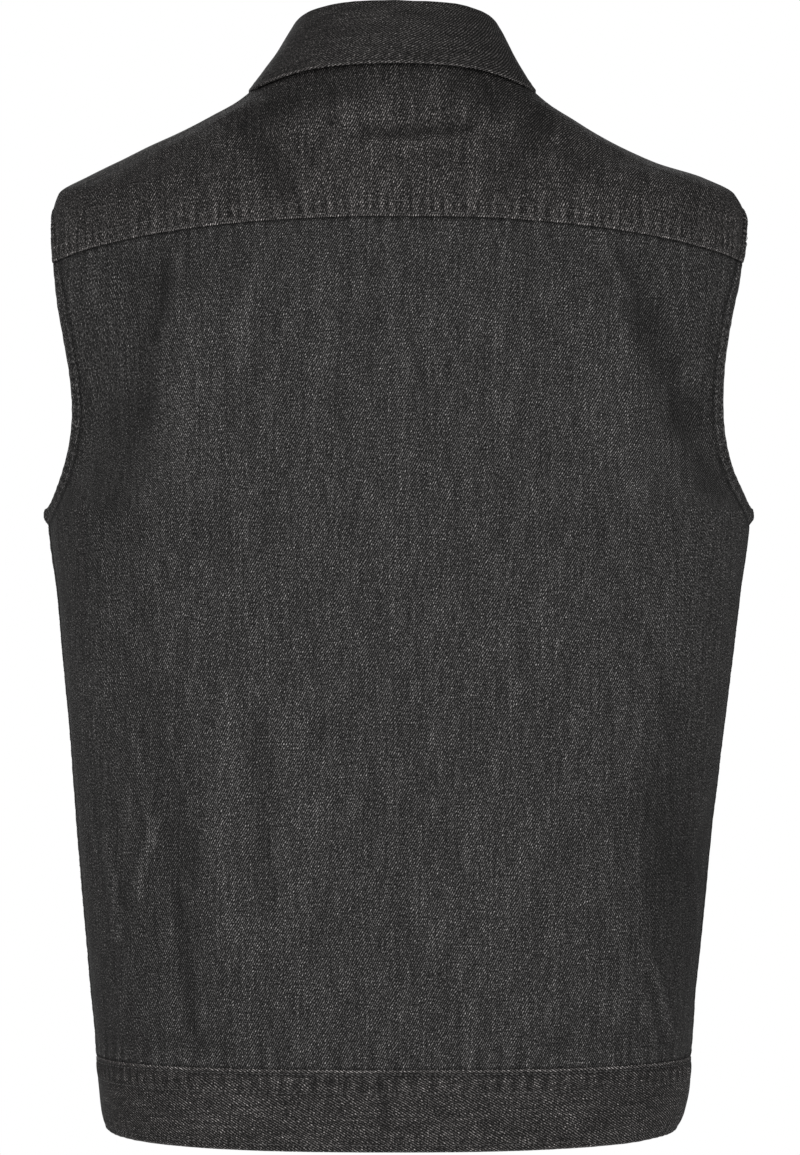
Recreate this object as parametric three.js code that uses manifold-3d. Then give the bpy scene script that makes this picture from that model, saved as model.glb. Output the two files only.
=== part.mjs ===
// A denim vest in its worn shape with no wearer: neck, armholes and hem stand open.
// Millimetres, +Z up. The back faces +Y, the front -Y, and the wearer's left is +X.
// The origin lies between the shoulders, at the height where the collar meets the shoulder line.
//
// Every piece is cut from one body surface. A place on it has an angle, from 0 at the centre back
// over 90 at a side to 180 at the centre front, positive on the wearer's left, and a level,
// which is the height that its ring has at the side.

import * as THREE from "three";
import { mergeVertices } from "three/addons/utils/BufferGeometryUtils.js";
import Module from "manifold-3d";

// Driving dimensions

const SEAM_GAP = 0.3;
const PANEL_WALL = 1.6;
const YOKE_WALL = 2.2;
const YOKE_PROUD = 0.7;
const BAND_WALL = 3.0;
const BAND_PROUD = 0.75;
const COLLAR_WALL = 2.4;
const PLACKET_WALL = 2.4;

const HEM_LEVEL = -630;
const BAND_SEAM_LEVEL = -589;
const YOKE_SEAM_LEVEL = -106;
const NECK_LEVEL = 8;
const SIDE_SEAM_ANGLE = 90;
const SHOULDER_SEAM_ANGLE = 98;
const CENTRE_FRONT_ANGLE = 180;

const ARMHOLE = { bottom: -254, top: -80, backReach: 25, frontReach: 31, lean: 0.66, sharpness: 1.6 };
const PLACKET = { over: 16, seam: 18, under: 10 };
const BAND_LAP = { angle: 170, ramp: 5 };
const BUTTON = { count: 6, cap: 8.5, crown: 2.6, shank: 3.2, first: -124, last: -612 };
const BUTTON_SIDES = 14;
const AXIS = new THREE.Vector3(0, 1, 0);

// How many parts each piece's rows and columns are cut into
const PANEL_ROWS = { below: 10, besideBack: 9, besideFront: 10, shoulder: 10 };
const BACK_COLUMNS = 42;
const YOKE_COLUMNS = { seam: 11, armhole: 6 };
const FRONT_COLUMNS = 14;
const PLACKET_COLUMNS = 3;
const BAND_PARTS = { rows: 3, columns: 64, rampColumns: 2, lapColumns: 3 };
const COLLAR_PARTS = { rows: 12, columns: 44 };
const SEAT_STEPS = 400;
const WELD = 1e-4;

const RING_COLUMNS = [
  "level", "half", "shift", "side", "back", "front", "riseBack", "riseFront", "fullness", "dip",
];
const RINGS = namedRows(RING_COLUMNS, [
  [-637, 168.0, 5.8, 0, 116, -118, -5, -3, 0.06, 0],
  [-630, 171.2, 5.4, 0, 116, -118, -5, -3, 0.06, 0],
  [-618, 175.6, 4.4, 0, 116, -118, -3, -2, 0.06, 0],
  [-604, 178.0, 3.6, 0, 116, -118, -1, -1, 0.06, 0],
  [-589, 179.2, 3.8, 0, 114, -118, 0, 0, 0.06, 0],
  [-527, 185.3, 3.4, 0, 110, -120, 0, 0, 0.06, 0],
  [-455, 192.2, 2.6, 0, 112, -123, 0, 0, 0.05, 0],
  [-380, 198.9, 1.6, 0, 117, -125, 0, 0, 0.05, 0],
  [-310, 206.4, 0.8, 0, 124, -127, 0, 0, 0.04, 0],
  [-254, 212.8, 0.6, 2, 128, -127, 0, 0, 0.04, 0],
  [-200, 212.0, 1.6, 3, 130, -125, 8, -8, 0.03, 0],
  [-150, 212.4, 3.0, 5, 127, -119, 15, -20, 0.03, 1],
  [-106, 211.0, 1.0, 7, 112, -109, 27, -34, 0.04, 2],
  [-80, 210.4, 0.4, 8, 105, -103, 25, -42, 0.04, 7],
  [-63, 204.6, 2.1, 8, 98, -96, 21, -49, 0.04, 11],
  [-53, 186.7, 3.2, 7, 94, -92, 19, -53, 0.04, 11],
  [-44, 163.5, 8.2, 6, 90, -88, 17, -57, 0.03, 9],
  [-35, 144.4, 9.2, 5, 87, -86, 16, -60, 0.03, 7],
  [-26, 126.2, 7.8, 4, 84, -83, 15, -64, 0.02, 5],
  [-17, 110.4, 6.2, 3, 80, -80, 14, -68, 0.02, 3],
  [-8, 95.6, 5.2, 2, 77, -77, 12, -73, 0.01, 2],
  [1, 84.0, 4.6, 1, 73, -74, 11, -77, 0, 1],
  [8, 75.0, 4.0, 0, 70, -72, 10, -80, 0, 0],
  [14, 69.5, 3.8, 0, 67, -70, 10, -82, 0, 0],
]);

// Soft troughs (depth below 0) and ridges (above 0), each along a straight run on one face.
// A run is as long, as wide and as deep as the cloth shows, and no two are alike.
const FOLD_COLUMNS = ["face", "fromX", "fromZ", "toX", "toZ", "width", "depth"];
const FOLDS = namedRows(FOLD_COLUMNS, [
  ["back", -131, -350, -142, -460, 9, 2.6],
  ["back", -142, -460, -158, -578, 9, 3.0],
  ["back", -150, -372, -160, -460, 12, -4.0],
  ["back", -160, -460, -168, -560, 10, -4.4],
  ["back", -134, -100, -150, -124, 10, -3.2],
  ["back", -150, -124, -172, -190, 12, -4.2],
  ["back", -172, -190, -188, -236, 11, -3.2],
  ["back", -112, -150, -140, -235, 18, 2.4],
  ["back", 147, -104, 158, -190, 14, -3.8],
  ["back", 158, -190, 172, -250, 13, -2.6],
  ["back", 122, -120, 128, -250, 18, 2.2],
  ["back", 168, -572, 116, -574, 14, -3.6],
  ["back", -98, -572, -142, -570, 14, -3.6],
  ["back", 150, -365, 128, -460, 12, -3.0],
  ["back", 135, -450, 118, -555, 11, -2.6],
  ["back", 101, -345, 104, -535, 15, 2.4],
  ["back", 58, -350, 62, -520, 15, 2.0],
  ["back", 80, -380, 83, -500, 10, -1.8],
  ["back", -60, -400, -52, -540, 16, 1.8],
  ["back", 17, -36, -43, -33, 6, -2.2],
  ["back", -43, -33, -76, -22, 6, -2.4],
  ["back", 30, -20, 22, -66, 16, 2.2],
  ["back", 92, -24, 70, -60, 12, -2.2],
  ["back", -84, -24, -64, -58, 12, -2.2],
  ["front", 150, -110, 128, -190, 14, -3.8],
  ["front", -146, -116, -130, -205, 15, -3.4],
  ["front", 128, -190, 96, -262, 12, -2.6],
  ["front", 100, -330, 112, -520, 17, 2.6],
  ["front", -88, -350, -104, -540, 18, 2.4],
  ["front", 148, -380, 160, -560, 13, -3.8],
  ["front", -142, -400, -162, -565, 12, -3.4],
  ["front", 62, -572, 112, -570, 13, -3.2],
  ["front", -58, -573, -118, -570, 14, -3.4],
  ["front", 60, -300, 52, -430, 15, -2.2],
  ["front", -54, -290, -62, -455, 14, -2.0],
]);

// The collar from the centre back to its front end. The crest is the top of the roll, and the
// edge is where the fallen leaf ends, over a place on the body surface and lifted off it.
const COLLAR_COLUMNS = ["angle", "crestX", "crestZ", "edgeAngle", "edgeLevel", "lift", "bulge"];
const COLLAR_RUN = namedRows(COLLAR_COLUMNS, [
  [0, 57.0, 50, 0, 0, 8, 2.0],
  [30, 57.5, 49.2, 30, 0, 7.5, 2.0],
  [55, 59.0, 46.6, 55, 0, 5.6, 0.6],
  [75, 60.0, 42.4, 75, 0.5, 3.4, -1.2],
  [90, 60.5, 37, 90, 1, 2.4, -2.2],
  [110, 60.5, 22, 109, -5, 2.6, 1.2],
  [130, 59.5, 2, 128, -19, 3.2, 3.4],
  [150, 61.0, -20, 145, -36, 3.4, 3.4],
  [165, 62.0, -36, 157, -52, 3.4, 2.6],
  [176, 62.0, -43, 166, -66, 3.4, 2.0],
]);
const COLLAR_END_ANGLE = 176;
const COLLAR_DEPTH = 62;
const COLLAR_SHIFT = 2.6;
const COLLAR_ROLL = { reach: 3.6, inner: 6, outer: 4.6 };
const COLLAR_FOOT = 3;

// A button cap's section, from its underside's edge over the rolled rim to the middle, as shares
// of its radius and crown
const CAP_OUTLINE = namedRows(["radius", "height"], [
  [0.87, 0],
  [0.95, 0.12],
  [1, 0.46],
  [0.94, 0.73],
  [0.82, 0.85],
  [0.66, 0.77],
  [0.38, 0.92],
  [0, 1],
]);

const DENIM = { color: 0x3a3737, roughness: 0.92, metalness: 0 };
const DENIM_DARK = { color: 0x312f30, roughness: 0.92, metalness: 0 };
const BUTTON_METAL = { color: 0x4a4745, roughness: 0.42, metalness: 0.9 };

// Tables and curves

function namedRows(names, rows) {
  return rows.map((row) => Object.fromEntries(names.map((name, index) => [name, row[index]])));
}

// A smooth curve through one column of a table that never swings past its own points.
function curveThrough(rows, key, name) {
  const places = rows.map((row) => row[key]);
  const values = rows.map((row) => row[name]);
  const last = places.length - 1;
  const slopes = values.slice(1).map((value, i) => (value - values[i]) / (places[i + 1] - places[i]));
  const tangents = values.map((_, i) => {
    if (i === 0) return slopes[0];
    if (i === last) return slopes[last - 1];
    const before = slopes[i - 1];
    const after = slopes[i];
    return before * after <= 0 ? 0 : (2 * before * after) / (before + after);
  });
  return (place) => {
    if (place <= places[0]) return values[0] + tangents[0] * (place - places[0]);
    if (place >= places[last]) return values[last] + tangents[last] * (place - places[last]);
    const i = places.findIndex((next) => next > place) - 1;
    const span = places[i + 1] - places[i];
    const t = (place - places[i]) / span;
    const eased = t * t * (3 - 2 * t);
    const start = t * (1 - t) * (1 - t) * span * tangents[i];
    const end = t * t * (1 - t) * span * tangents[i + 1];
    return values[i] + (values[i + 1] - values[i]) * eased + start - end;
  };
}

function curvesOf(rows, key, names) {
  return Object.fromEntries(names.map((name) => [name, curveThrough(rows, key, name)]));
}

const ring = curvesOf(RINGS, "level", RING_COLUMNS);
const collarRun = curvesOf(COLLAR_RUN, "angle", COLLAR_COLUMNS);

function between(from, to, count) {
  return Array.from({ length: count + 1 }, (_, i) => from + ((to - from) * i) / count);
}

// The body surface

function surfacePoint(angle, level) {
  const turn = THREE.MathUtils.degToRad(angle);
  const sine = Math.sin(turn);
  const cosine = Math.cos(turn);
  const corner = Math.sin(2 * turn) ** 2;
  const full = 1 + ring.fullness(level) * corner;
  const side = ring.side(level);
  const reach = cosine >= 0 ? ring.back(level) - side : side - ring.front(level);
  const rise = cosine >= 0 ? ring.riseBack(level) : ring.riseFront(level);
  return new THREE.Vector3(
    ring.shift(level) + ring.half(level) * sine * full,
    side + reach * cosine * full,
    level + rise * (1 - Math.abs(sine) ** 3) - ring.dip(level) * corner,
  );
}

function surfaceNormal(angle, level) {
  const step = 0.5;
  const along = surfacePoint(angle + step, level).sub(surfacePoint(angle - step, level));
  const up = surfacePoint(angle, level + step).sub(surfacePoint(angle, level - step));
  return up.cross(along).normalize();
}

function foldDepth(angle, point) {
  const face = Math.abs(angle) < SIDE_SEAM_ANGLE ? "back" : "front";
  return FOLDS.filter((fold) => fold.face === face).reduce((sum, fold) => {
    const runX = fold.toX - fold.fromX;
    const runZ = fold.toZ - fold.fromZ;
    const along = (point.x - fold.fromX) * runX + (point.z - fold.fromZ) * runZ;
    const held = THREE.MathUtils.clamp(along / (runX ** 2 + runZ ** 2), 0, 1);
    const offX = point.x - fold.fromX - held * runX;
    const offZ = point.z - fold.fromZ - held * runZ;
    return sum + fold.depth * Math.exp(-(offX ** 2 + offZ ** 2) / fold.width ** 2);
  }, 0);
}

// A point of the cloth, with its folds, moved out from the body surface.
function clothPoint(angle, level, offset) {
  const point = surfacePoint(angle, level);
  const amount = offset + foldDepth(angle, point);
  return point.addScaledVector(surfaceNormal(angle, level), amount);
}

// Half a seam gap, as degrees along a ring or as levels across it.
function gapAngle(angle, level) {
  return SEAM_GAP / 2 / surfacePoint(angle, level).distanceTo(surfacePoint(angle + 1, level));
}

function gapLevel(angle, level) {
  return SEAM_GAP / 2 / surfacePoint(angle, level).distanceTo(surfacePoint(angle, level + 1));
}

// The angle at which the front lies a given distance to the wearer's left of the centre front.
function frontAngle(distance, level) {
  return CENTRE_FRONT_ANGLE - THREE.MathUtils.radToDeg(Math.asin(distance / ring.half(level)));
}

// The armhole's edge as a leaning oval. The turn runs from 0 at the underarm to 180 at the top.

const ARMHOLE_RISE = ARMHOLE.top - ARMHOLE.bottom;

function armholeLevel(turn) {
  return ARMHOLE.bottom + ARMHOLE_RISE * ((1 - Math.cos(turn)) / 2) ** (1 / ARMHOLE.lean);
}

function armholeAngle(turn, reach) {
  return SIDE_SEAM_ANGLE + reach * Math.sin(turn) ** ARMHOLE.sharpness;
}

function armholeTurn(level) {
  return Math.acos(1 - 2 * ((level - ARMHOLE.bottom) / ARMHOLE_RISE) ** ARMHOLE.lean);
}

function armholeTopTurn(angle) {
  const reach = angle <= SIDE_SEAM_ANGLE ? ARMHOLE.backReach : ARMHOLE.frontReach;
  return Math.PI - Math.asin((Math.abs(angle - SIDE_SEAM_ANGLE) / reach) ** (1 / ARMHOLE.sharpness));
}

const YOKE_TURN = armholeTurn(YOKE_SEAM_LEVEL);
const YOKE_END_ANGLE = armholeAngle(YOKE_TURN, -ARMHOLE.backReach);
const SHOULDER_TURN = armholeTopTurn(SHOULDER_SEAM_ANGLE);

// Closed walls from a grid of places, rows going up and columns going from right to left

function gridOf(rows, columns, place) {
  return rows.map((row) => columns.map((column) => place(row, column)));
}

function wallGeometry(outer, inner) {
  const rows = outer.length;
  const columns = outer[0].length;
  const positions = [...outer.flat(), ...inner.flat()].flatMap((point) => point.toArray());
  const outerIndex = (i, j) => i * columns + j;
  const innerIndex = (i, j) => rows * columns + outerIndex(i, j);
  const faces = [];
  for (let i = 0; i < rows - 1; i += 1) {
    for (let j = 0; j < columns - 1; j += 1) {
      faces.push(outerIndex(i, j), outerIndex(i + 1, j), outerIndex(i + 1, j + 1));
      faces.push(outerIndex(i, j), outerIndex(i + 1, j + 1), outerIndex(i, j + 1));
      faces.push(innerIndex(i, j), innerIndex(i + 1, j + 1), innerIndex(i + 1, j));
      faces.push(innerIndex(i, j), innerIndex(i, j + 1), innerIndex(i + 1, j + 1));
    }
  }
  const rim = (from, to) => {
    faces.push(outerIndex(...to), outerIndex(...from), innerIndex(...from));
    faces.push(outerIndex(...to), innerIndex(...from), innerIndex(...to));
  };
  for (let i = 0; i < rows - 1; i += 1) {
    rim([i, 0], [i + 1, 0]);
    rim([i + 1, columns - 1], [i, columns - 1]);
  }
  for (let j = 0; j < columns - 1; j += 1) {
    rim([rows - 1, j], [rows - 1, j + 1]);
    rim([0, j + 1], [0, j]);
  }
  const geometry = new THREE.BufferGeometry();
  geometry.setAttribute("position", new THREE.Float32BufferAttribute(positions, 3));
  geometry.setIndex(faces);
  geometry.computeVertexNormals();
  return geometry;
}

// A wall on the body surface between two offsets. place gives the angle and level of a grid spot.
function clothWall(rows, columns, place, outerOffset, innerOffset) {
  const layer = (offset) => gridOf(rows, columns, (row, column) => {
    const [angle, level, proud = 0] = place(row, column);
    return clothPoint(angle, level, offset + proud);
  });
  return wallGeometry(layer(outerOffset), layer(innerOffset));
}

// The rows of a panel, from the waistband seam up. Each row runs from a level in the panel's middle
// to a place on its outer edge, so that rows open out evenly round the armhole.

const ROW_EASE = 1.3;

function rowsBelowArmhole() {
  return between(0, 1, PANEL_ROWS.below).slice(0, -1).map((share) => {
    const level = BAND_SEAM_LEVEL + (ARMHOLE.bottom - BAND_SEAM_LEVEL) * share ** ROW_EASE;
    return { middle: level, edge: level, angle: SIDE_SEAM_ANGLE };
  });
}

function rowsBesideArmhole(lastTurn, topLevel, reach, count) {
  return between(0, 1, count).map((share) => ({
    middle: ARMHOLE.bottom + share * (topLevel - ARMHOLE.bottom),
    edge: armholeLevel(share * lastTurn),
    angle: armholeAngle(share * lastTurn, reach),
  }));
}

// A spot on a row: share is 0 in the panel's middle and 1 on its outer edge. Its columns start to
// bend towards the armhole from one share, and its rows from another.
const COLUMNS_BEND_FROM = 0.45;
const ROWS_BEND_FROM = 0.2;

function spotOnRow(row, share, middleAngle) {
  const regular = middleAngle + share * (SIDE_SEAM_ANGLE - middleAngle);
  const bend = THREE.MathUtils.smoothstep(share, COLUMNS_BEND_FROM, 1);
  const edge = row.angle + Math.sign(middleAngle - row.angle) * gapAngle(row.angle, row.edge);
  return {
    angle: regular + bend * (edge - SIDE_SEAM_ANGLE),
    level: row.middle + THREE.MathUtils.smoothstep(share, ROWS_BEND_FROM, 1) * (row.edge - row.middle),
  };
}

function seamedLevel(angle, level, bottom, top) {
  const gap = gapLevel(angle, level);
  return THREE.MathUtils.clamp(level, bottom + gap, top - gap);
}

// Pieces

function backPanelGeometry() {
  const besideCount = PANEL_ROWS.besideBack;
  const beside = rowsBesideArmhole(YOKE_TURN, YOKE_SEAM_LEVEL, -ARMHOLE.backReach, besideCount);
  const columns = between(-1, 1, BACK_COLUMNS);
  const place = (row, column) => {
    const spot = spotOnRow(row, Math.abs(column), 0);
    const level = seamedLevel(spot.angle, spot.level, BAND_SEAM_LEVEL, YOKE_SEAM_LEVEL);
    return [Math.sign(column) * spot.angle, level];
  };
  return clothWall([...rowsBelowArmhole(), ...beside], columns, place, 0, -PANEL_WALL);
}

function backYokeGeometry() {
  const shares = between(0, 1, PANEL_ROWS.shoulder);
  const half = [
    ...between(0, YOKE_END_ANGLE, YOKE_COLUMNS.seam),
    ...between(YOKE_END_ANGLE, SHOULDER_SEAM_ANGLE, YOKE_COLUMNS.armhole).slice(1),
  ];
  const columns = [...half.slice(1).reverse().map((angle) => -angle), ...half];
  const place = (share, column) => {
    const size = Math.abs(column);
    const bottom = size <= YOKE_END_ANGLE ? YOKE_SEAM_LEVEL : armholeLevel(armholeTopTurn(size));
    const level = bottom + share * (NECK_LEVEL - bottom);
    const angle = Math.sign(column) * Math.min(size, SHOULDER_SEAM_ANGLE - gapAngle(size, level));
    return [angle, seamedLevel(angle, level, YOKE_SEAM_LEVEL, NECK_LEVEL)];
  };
  return clothWall(shares, columns, place, YOKE_PROUD, YOKE_PROUD - YOKE_WALL);
}

// The fronts and their plackets share these rows, so their seams meet all the way up.
const SHOULDER_LEVEL = armholeLevel(SHOULDER_TURN);
const shoulderLevels = between(SHOULDER_LEVEL, NECK_LEVEL, PANEL_ROWS.shoulder).slice(1);
const FRONT_ROWS = [
  ...rowsBelowArmhole(),
  ...rowsBesideArmhole(SHOULDER_TURN, SHOULDER_LEVEL, ARMHOLE.frontReach, PANEL_ROWS.besideFront),
  ...shoulderLevels.map((level) => ({ middle: level, edge: level, angle: SHOULDER_SEAM_ANGLE })),
];

function frontGeometry(side) {
  const shares = between(0, 1, FRONT_COLUMNS);
  const columns = side > 0 ? shares : [...shares].reverse();
  const place = (row, fromEdge) => {
    const middleAngle = frontAngle(PLACKET.seam + SEAM_GAP, row.middle);
    const spot = spotOnRow(row, 1 - fromEdge, middleAngle);
    return [side * spot.angle, seamedLevel(spot.angle, spot.level, BAND_SEAM_LEVEL, NECK_LEVEL)];
  };
  return clothWall(FRONT_ROWS, columns, place, 0, -PANEL_WALL);
}

function placketGeometry(fromX, toX, outerOffset, innerOffset) {
  const distances = between(toX, fromX, PLACKET_COLUMNS);
  const place = (row, distance) => {
    const angle = frontAngle(distance, row.middle);
    return [angle, seamedLevel(angle, row.middle, BAND_SEAM_LEVEL, NECK_LEVEL)];
  };
  return clothWall(FRONT_ROWS, distances, place, outerOffset, innerOffset);
}

// One strip all round. Its left end steps out over the right end at the centre front.
function waistbandGeometry() {
  const levels = between(HEM_LEVEL, BAND_SEAM_LEVEL, BAND_PARTS.rows);
  const start = -frontAngle(-PLACKET.under, BAND_SEAM_LEVEL);
  const end = frontAngle(-PLACKET.over, BAND_SEAM_LEVEL);
  const lapAngle = BAND_LAP.angle + BAND_LAP.ramp;
  const columns = [
    ...between(start, BAND_LAP.angle, BAND_PARTS.columns),
    ...between(BAND_LAP.angle, lapAngle, BAND_PARTS.rampColumns).slice(1),
    ...between(lapAngle, end, BAND_PARTS.lapColumns).slice(1),
  ];
  const place = (level, angle) => {
    const ramp = THREE.MathUtils.smoothstep(angle, BAND_LAP.angle, lapAngle);
    const proud = ramp * (BAND_WALL + SEAM_GAP);
    return [angle, Math.min(level, BAND_SEAM_LEVEL - gapLevel(angle, level)), proud];
  };
  return clothWall(levels, columns, place, BAND_PROUD, BAND_PROUD - BAND_WALL);
}

// The collar's middle surface at one angle: up the stand, over the roll and down the leaf.
function collarProfile(angle) {
  const size = Math.abs(angle);
  const turn = THREE.MathUtils.degToRad(angle);
  const outward = new THREE.Vector3(Math.sin(turn), Math.cos(turn), 0);
  const run = (name) => collarRun[name](size);
  const footLevel = NECK_LEVEL + gapLevel(angle, NECK_LEVEL);
  const foot = clothPoint(angle, footLevel, -YOKE_WALL / 2);
  const up = clothPoint(angle, footLevel + 1, -YOKE_WALL / 2).sub(foot).normalize();
  const ankle = foot.clone().addScaledVector(up, COLLAR_FOOT);
  const crest = new THREE.Vector3(
    COLLAR_SHIFT + run("crestX") * Math.sin(turn),
    COLLAR_DEPTH * Math.cos(turn),
    run("crestZ"),
  );
  const rolled = (reach, drop) => {
    return crest.clone().addScaledVector(outward, reach).add(new THREE.Vector3(0, 0, -drop));
  };
  const innerRoll = rolled(-COLLAR_ROLL.reach, COLLAR_ROLL.inner);
  const outerRoll = rolled(COLLAR_ROLL.reach, COLLAR_ROLL.outer);
  const stand = ankle.clone().lerp(innerRoll, 0.5);
  const edge = clothPoint(Math.sign(angle) * run("edgeAngle"), run("edgeLevel"), run("lift"));
  const leaf = outerRoll.clone().lerp(edge, 0.5).addScaledVector(outward, run("bulge"));
  const points = [foot, ankle, stand, innerRoll, crest, outerRoll, leaf, edge];
  return new THREE.CatmullRomCurve3(points, false, "centripetal");
}

// The sheet's facing at each grid spot, from its neighbours.
function gridNormals(grid) {
  const clampedAt = (i, j) => {
    const row = grid[THREE.MathUtils.clamp(i, 0, grid.length - 1)];
    return row[THREE.MathUtils.clamp(j, 0, row.length - 1)];
  };
  return grid.map((row, i) => row.map((_, j) => {
    const up = clampedAt(i + 1, j).clone().sub(clampedAt(i - 1, j));
    const along = clampedAt(i, j + 1).clone().sub(clampedAt(i, j - 1));
    return up.cross(along).normalize();
  }));
}

function collarGeometry() {
  const angles = between(-COLLAR_END_ANGLE, COLLAR_END_ANGLE, COLLAR_PARTS.columns);
  const profiles = angles.map(collarProfile);
  const rows = between(0, 1, COLLAR_PARTS.rows);
  const middle = rows.map((share) => profiles.map((profile) => profile.getPoint(share)));
  const normals = gridNormals(middle);
  const layer = (offset) => middle.map((row, i) => row.map((point, j) => {
    return point.clone().addScaledVector(normals[i][j], offset);
  }));
  return wallGeometry(layer(COLLAR_WALL / 2), layer(-COLLAR_WALL / 2));
}

// A pressed shank button: its cap lies on the upper placket and its shank goes down through it.
function buttonGeometry() {
  const { cap, crown, shank } = BUTTON;
  const shankOutline = [[0, -PLACKET_WALL], [shank, -PLACKET_WALL], [shank, 0]];
  const capOutline = CAP_OUTLINE.map((spot) => [spot.radius * cap, spot.height * crown]);
  const outline = [...shankOutline, ...capOutline].map((spot) => new THREE.Vector2(...spot));
  const geometry = new THREE.LatheGeometry(outline, BUTTON_SIDES);
  geometry.deleteAttribute("uv");
  geometry.deleteAttribute("normal");
  const closed = mergeVertices(geometry, WELD);
  closed.computeVertexNormals();
  return closed;
}

// Where a button stands, and which way it faces, on a piece whose outer face has this offset.
function buttonSeat(height, offset) {
  const levels = between(HEM_LEVEL, NECK_LEVEL, SEAT_STEPS);
  const miss = (level) => Math.abs(surfacePoint(CENTRE_FRONT_ANGLE, level).z - height);
  const level = levels.reduce((best, next) => (miss(next) < miss(best) ? next : best));
  const facing = surfaceNormal(CENTRE_FRONT_ANGLE, level);
  return { point: clothPoint(CENTRE_FRONT_ANGLE, level, offset), facing };
}

// Assembly

const wasm = await Module();
wasm.setup();

function solidOf(geometry) {
  const bare = geometry.clone();
  bare.deleteAttribute("normal");
  const merged = mergeVertices(bare, WELD);
  return new wasm.Manifold(new wasm.Mesh({
    numProp: 3,
    vertProperties: Float32Array.from(merged.getAttribute("position").array),
    triVerts: Uint32Array.from(merged.getIndex().array),
  }));
}

function geometryOf(solid) {
  const mesh = solid.getMesh();
  const geometry = new THREE.BufferGeometry();
  geometry.setAttribute("position", new THREE.BufferAttribute(Float32Array.from(mesh.vertProperties), 3));
  geometry.setIndex(Array.from(mesh.triVerts));
  geometry.computeVertexNormals();
  return geometry;
}

const vest = new THREE.Group();

function addPiece(name, geometry, finish) {
  const mesh = new THREE.Mesh(geometry, new THREE.MeshStandardMaterial(finish));
  mesh.name = name;
  vest.add(mesh);
  return mesh;
}

addPiece("back_panel", backPanelGeometry(), DENIM);
addPiece("back_yoke", backYokeGeometry(), DENIM);
addPiece("front_left", frontGeometry(1), DENIM);
addPiece("front_right", frontGeometry(-1), DENIM);
addPiece("collar", collarGeometry(), DENIM_DARK);

const PLACKET_FACE = SEAM_GAP + PLACKET_WALL;
const BAND_FACE = BAND_PROUD + BAND_WALL + SEAM_GAP;
const buttonHeights = between(BUTTON.first, BUTTON.last, BUTTON.count - 1);
const seats = buttonHeights.map((height, index) => {
  return buttonSeat(height, index === BUTTON.count - 1 ? BAND_FACE : PLACKET_FACE);
});

function buttonholeSolid(seat) {
  const radius = BUTTON.shank + SEAM_GAP;
  const drill = new THREE.CylinderGeometry(radius, radius, 3 * PLACKET_WALL, BUTTON_SIDES);
  drill.deleteAttribute("uv");
  drill.deleteAttribute("normal");
  const closed = mergeVertices(drill, WELD);
  closed.applyQuaternion(new THREE.Quaternion().setFromUnitVectors(AXIS, seat.facing));
  closed.translate(...seat.point.clone().addScaledVector(seat.facing, -PLACKET_WALL / 2).toArray());
  return solidOf(closed);
}

const upperPlacket = solidOf(placketGeometry(-PLACKET.over, PLACKET.seam, PLACKET_FACE, SEAM_GAP));
const buttonholes = seats.slice(0, -1).map(buttonholeSolid);
const drilledPlacket = buttonholes.reduce((solid, hole) => solid.subtract(hole), upperPlacket);
addPiece("placket_left", geometryOf(drilledPlacket), DENIM);
addPiece("placket_right", placketGeometry(-PLACKET.seam, PLACKET.under, 0, -PLACKET_WALL), DENIM);

const band = solidOf(waistbandGeometry()).subtract(buttonholeSolid(seats[seats.length - 1]));
addPiece("waistband", geometryOf(band), DENIM);

seats.forEach((seat, index) => {
  const button = addPiece(`button_${index + 1}`, buttonGeometry(), BUTTON_METAL);
  button.quaternion.setFromUnitVectors(AXIS, seat.facing);
  button.position.copy(seat.point).addScaledVector(seat.facing, SEAM_GAP);
});

export default vest;
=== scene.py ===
"""The looks of a washed black denim vest, worn shape with no wearer, seen from behind.

Blender's units are metres. The tables below are in millimetres, like the vest's own pattern, and
MM turns them into metres. The back faces +Y, the front -Y, and the wearer's left is +X.

Every cloth piece is cut from one body surface. A place on it has an angle, from 0 at the centre
back over 90 at a side to 180 at the centre front, positive on the wearer's left, and a level,
which is the height that its ring has at the side. A piece's relief moves it out from there.
"""

import math

import bpy
import numpy as np
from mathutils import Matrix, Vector


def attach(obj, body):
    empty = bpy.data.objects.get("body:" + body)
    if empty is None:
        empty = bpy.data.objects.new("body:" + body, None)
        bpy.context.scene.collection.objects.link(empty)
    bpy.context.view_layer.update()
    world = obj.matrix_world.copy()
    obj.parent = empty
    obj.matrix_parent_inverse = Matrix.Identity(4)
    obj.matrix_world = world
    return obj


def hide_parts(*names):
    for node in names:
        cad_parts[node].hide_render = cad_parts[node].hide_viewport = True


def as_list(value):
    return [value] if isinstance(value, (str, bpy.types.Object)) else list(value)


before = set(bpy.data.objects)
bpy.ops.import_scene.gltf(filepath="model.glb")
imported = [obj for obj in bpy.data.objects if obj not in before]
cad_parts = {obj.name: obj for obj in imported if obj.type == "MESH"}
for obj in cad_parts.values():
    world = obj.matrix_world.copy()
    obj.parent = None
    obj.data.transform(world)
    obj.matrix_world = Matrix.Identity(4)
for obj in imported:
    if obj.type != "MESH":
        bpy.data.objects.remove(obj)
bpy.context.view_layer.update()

MM = 0.001
scene = bpy.context.scene

# The pattern: the vest's driving sizes, close to those of its solids

HEM_LEVEL = -630.0
BAND_SEAM_LEVEL = -585.0
YOKE_SEAM_LEVEL = -106.0
NECK_LEVEL = 8.0
SHOULDER_SEAM_ANGLE = 98.0
ARMHOLE_BOTTOM = -254.0
ARMHOLE_RISE = 174.0
ARMHOLE_BACK_REACH = 25.0
ARMHOLE_FRONT_REACH = 31.0
ARMHOLE_LEAN = 0.66
ARMHOLE_SHARPNESS = 1.6
TOP_ROUNDING = 0.6
TOP_ROUNDING_REACH = 0.3
PLACKET_OVER = 16.0
PLACKET_SEAM = 18.0
PLACKET_UNDER = 10.0
PANEL_TUCK = {1: 3.0, -1: 0.1}

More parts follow.
